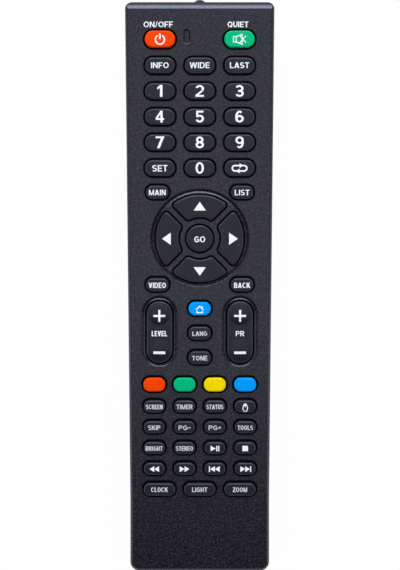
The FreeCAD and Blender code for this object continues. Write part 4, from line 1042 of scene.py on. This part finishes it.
def rim_trim():
    """On the outer wall of each sunk rim, a sloped edge that catches the light and a black line
    of painted shade.
    """
    points = [vertex.co for vertex in NODES["front_cover"].data.vertices]
    floor = [point for point in points if abs(point.z - (FACE_Z - RIM_DEPTH)) < EDGE_DEPTH]
    inner, outer = -RIM_FLUSH - RIM_EDGE, -RIM_FLUSH
    foot_z, edge_z = FACE_Z - RIM_DEPTH - EDGE_DEPTH, FACE_Z + EDGE_DEPTH / 2
    edge = [
        (inner, foot_z, RIM_LEAN), (inner, FACE_Z - RIM_FALL, RIM_LEAN),
        (outer, edge_z, RIM_LEAN), (EDGE_DEPTH, edge_z, 0), (EDGE_DEPTH, foot_z, 0),
    ]
    line_low, line_high = FACE_Z - RIM_FALL, FACE_Z + EDGE_DEPTH
    line = [
        (-LINE_WIDTH, line_low, -LINE_LEAN), (-LINE_WIDTH, line_high, -LINE_LEAN),
        (LINE_REACH, line_high, LINE_LEAN), (LINE_REACH, line_low, LINE_LEAN),
    ]
    for name, key in RIMS:
        x, y = middle_of(key)
        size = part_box(key)[1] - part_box(key)[0]
        wide, tall = size.x / 2 + ROCKER_REACH, size.y / 2 + ROCKER_REACH
        if key == "ok_key":
            wide = tall = CURSOR_REACH
        low, high = extent([
            point for point in floor if abs(point.x - x) < wide and abs(point.y - y) < tall
        ])
        slot_ring(name, low, high, edge, MATERIALS["casing_plastic"], "root")
        # The black line is painted shade under the rim's outer wall
        slot_ring(f"{name}_line", low, high, line, MATERIALS["mat_black"], "root")


def cover_loops(level):
    """Outlines of the openings that go down from the cover's flat faces at a level."""
    mesh = NODES["front_cover"].data
    near = EDGE_DEPTH / 2

    def key(number):
        return tuple(round(part / MICRON) for part in mesh.vertices[number].co)

    walls, after = set(), {}
    for face in mesh.polygons:
        heights = [mesh.vertices[number].co.z for number in face.vertices]
        if abs(face.normal.z) < WALL_NORMAL and abs(max(heights) - level) < near:
            walls.update(frozenset((key(one), key(two))) for one, two in pairs(face.vertices))
    for face in mesh.polygons:
        heights = [mesh.vertices[number].co.z for number in face.vertices]
        if face.normal.z > LEVEL_NORMAL and max(abs(height - level) for height in heights) < near:
            for one, two in pairs(face.vertices):
                if frozenset((key(one), key(two))) in walls:
                    after[key(one)] = key(two)
    loops = []
    while after:
        start, spot = after.popitem()
        loop = [start]
        while spot != start and spot in after:
            loop.append(spot)
            spot = after.pop(spot)
        if spot == start:
            loops.append([Vector((x * MICRON, y * MICRON)) for x, y, _ in loop])
    return loops


def band(shape, loop, level):
    """A thin closed band on the left of a loop."""
    stations = []
    for number, point in enumerate(loop):
        before = (point - loop[number - 1]).normalized()
        ahead = (loop[(number + 1) % len(loop)] - point).normalized()
        way = (before + ahead).normalized()
        side = Vector((-way.y, way.x)) / max(CORNER_LIMIT, way.dot(ahead))
        inner = point - side * EDGE_DEPTH / 2
        outer = point + side * (OPENING_EDGE + OPENING_EDGE_LEAN * side.normalized().y)
        corners = (
            (inner, -EDGE_DEPTH), (inner, EDGE_DEPTH), (outer, EDGE_DEPTH / 2),
            (outer, -EDGE_DEPTH),
        )
        stations.append([shape.verts.new((*spot, level + rise)) for spot, rise in corners])
    join_rings(shape, stations)


def opening_edges():
    """Painted shade round each key opening, as one thin closed black band for each."""
    other_keys = ("ok_key", "volume_rocker", "channel_rocker", "indicator_window")
    skipped = [middle_of(node) for node in other_keys]
    shape = bmesh.new()
    for level in (FACE_Z, FACE_Z - RIM_DEPTH):
        for loop in cover_loops(level):
            low, high = extent(loop)
            skip = any(low.x < x < high.x and low.y < y < high.y for x, y in skipped)
            if level < FACE_Z or not skip:
                band(shape, loop, level)
    # The bands are painted shade in black
    finished("opening_edges", shape, MATERIALS["mat_black"], "root")


window_trim()
rim_trim()
opening_edges()


# Camera, floor and light

FLOOR_COLOUR = (0.86, 0.86, 0.87)
FLOOR_WHITE_SHARE = 0.975
FLOOR_BELOW = 0.1 * MM
FLOOR_REACH = 3.0
BACKDROP_RADIUS = 2.9
BACKDROP_HEIGHT = 2.4
WORLD_COLOUR = (0.03, 0.031, 0.034)
SKY = (0.95, 0.97, 1.0)
WINDOW_SKY = (0.88, 0.94, 1.0)
SIDE_WALL = (1.0, 0.99, 0.97)
TAIL_WALL = (0.9, 0.94, 1.0)

# Wide soft panels overhead, towards the head end, a window beyond the head end, and pale walls:
# name, place, the spot that it faces, size, radiance and colour
SOFTBOXES = (
    ("overhead", (0.0, 0.3, 1.2), (0.0, 0.3, 0.0), (1.5, 1.16), 0.68, SKY),
    ("overhead_middle", (0.0, -0.15, 1.19), (0.0, -0.15, 0.0), (1.5, 0.22), 0.42, SKY),
    ("overhead_head", (0.0, 0.42, 1.15), (0.0, 0.42, 0.0), (1.5, 1.0), 0.22, SKY),
    ("window", (0.0, 0.95, 0.84), (0.0, 0.08, 0.0), (1.4, 0.4), 9.2, WINDOW_SKY),
    ("left_wall", (-0.85, -0.24, 0.45), (0.0, -0.1, 0.0), (0.3, 0.6), 1.7, SIDE_WALL),
    ("right_wall", (0.85, -0.24, 0.45), (0.0, -0.1, 0.0), (0.3, 0.6), 1.7, SIDE_WALL),
    ("tail_wall", (0.0, -1.0, 0.62), (0.0, 0.0, 0.0), (1.6, 0.7), 0.5, TAIL_WALL),
)


def set_camera():
    """A camera straight above that frames the face as the photograph does."""
    data = bpy.data.cameras.new("camera")
    data.sensor_fit = "AUTO"
    data.sensor_width = CAMERA_SENSOR
    seen = PHOTO_HEIGHT * FACE_MM_PER_PIXEL * MM
    data.lens = CAMERA_SENSOR * CAMERA_DISTANCE / seen
    data.shift_y = CAMERA_SHIFT
    camera = bpy.data.objects.new("camera", data)
    camera.location = (
        VIEW_MIDDLE[0], VIEW_MIDDLE[1] - CAMERA_SHIFT * seen, FACE_Z + CAMERA_DISTANCE,
    )
    bpy.context.scene.collection.objects.link(camera)
    bpy.context.scene.camera = camera


def floor_material():
    """Pale card that shows white to the camera and in reflections, and keeps the shadow."""
    recipe = Recipe("floor", FLOOR_COLOUR, 0.85)
    path = recipe.node("ShaderNodeLightPath")
    seen = recipe.math("MAXIMUM", path.outputs["Is Camera Ray"], path.outputs["Is Glossy Ray"])
    seen = recipe.math("MAXIMUM", seen, path.outputs["Is Transmission Ray"])
    white = recipe.node("ShaderNodeEmission")
    mix = recipe.node("ShaderNodeMixShader")
    recipe.link(recipe.math("MULTIPLY", seen, FLOOR_WHITE_SHARE), mix.inputs["Fac"])
    recipe.link(recipe.shader.outputs["BSDF"], mix.inputs[1])
    recipe.link(white.outputs["Emission"], mix.inputs[2])
    recipe.link(mix.outputs["Shader"], recipe.tree.nodes["Material Output"].inputs["Surface"])
    return recipe.material


def set_floor():
    """A wide floor under the object, and a round backdrop at its edge."""
    material = floor_material()
    shape = bmesh.new()
    bmesh.ops.create_grid(shape, x_segments=8, y_segments=8, size=FLOOR_REACH)
    bmesh.ops.translate(shape, verts=shape.verts[:], vec=(0, 0, -FLOOR_BELOW))
    floor = placed("floor", shape, material)
    shape = bmesh.new()
    bmesh.ops.create_cone(
        shape, cap_ends=False, segments=64, radius1=BACKDROP_RADIUS, radius2=BACKDROP_RADIUS,
        depth=BACKDROP_HEIGHT,
    )
    bmesh.ops.translate(shape, verts=shape.verts[:], vec=(0, 0, BACKDROP_HEIGHT / 2))
    backdrop = placed("backdrop", shape, material)


def add_softbox(name, place, target, size, radiance, colour):
    """A lit panel; radiance 1 looks as bright as a white card in plain light."""
    data = bpy.data.lights.new(name, "AREA")
    data.shape = "RECTANGLE"
    data.size, data.size_y = size
    data.energy = radiance * math.pi * size[0] * size[1]
    data.color = colour
    lamp = bpy.data.objects.new(name, data)
    lamp.location = place
    way = Vector(target) - Vector(place)
    lamp.rotation_euler = way.to_track_quat("-Z", "Y").to_euler()
    lamp.visible_camera = False
    bpy.context.scene.collection.objects.link(lamp)


def set_light():
    for softbox in SOFTBOXES:
        add_softbox(*softbox)
    world = bpy.data.worlds.new("studio")
    bpy.context.scene.world = world
    world.use_nodes = True
    world.node_tree.nodes["Background"].inputs["Color"].default_value = opaque(WORLD_COLOUR)


set_camera()
set_floor()
set_light()
bpy.context.scene.view_settings.view_transform = "Standard"
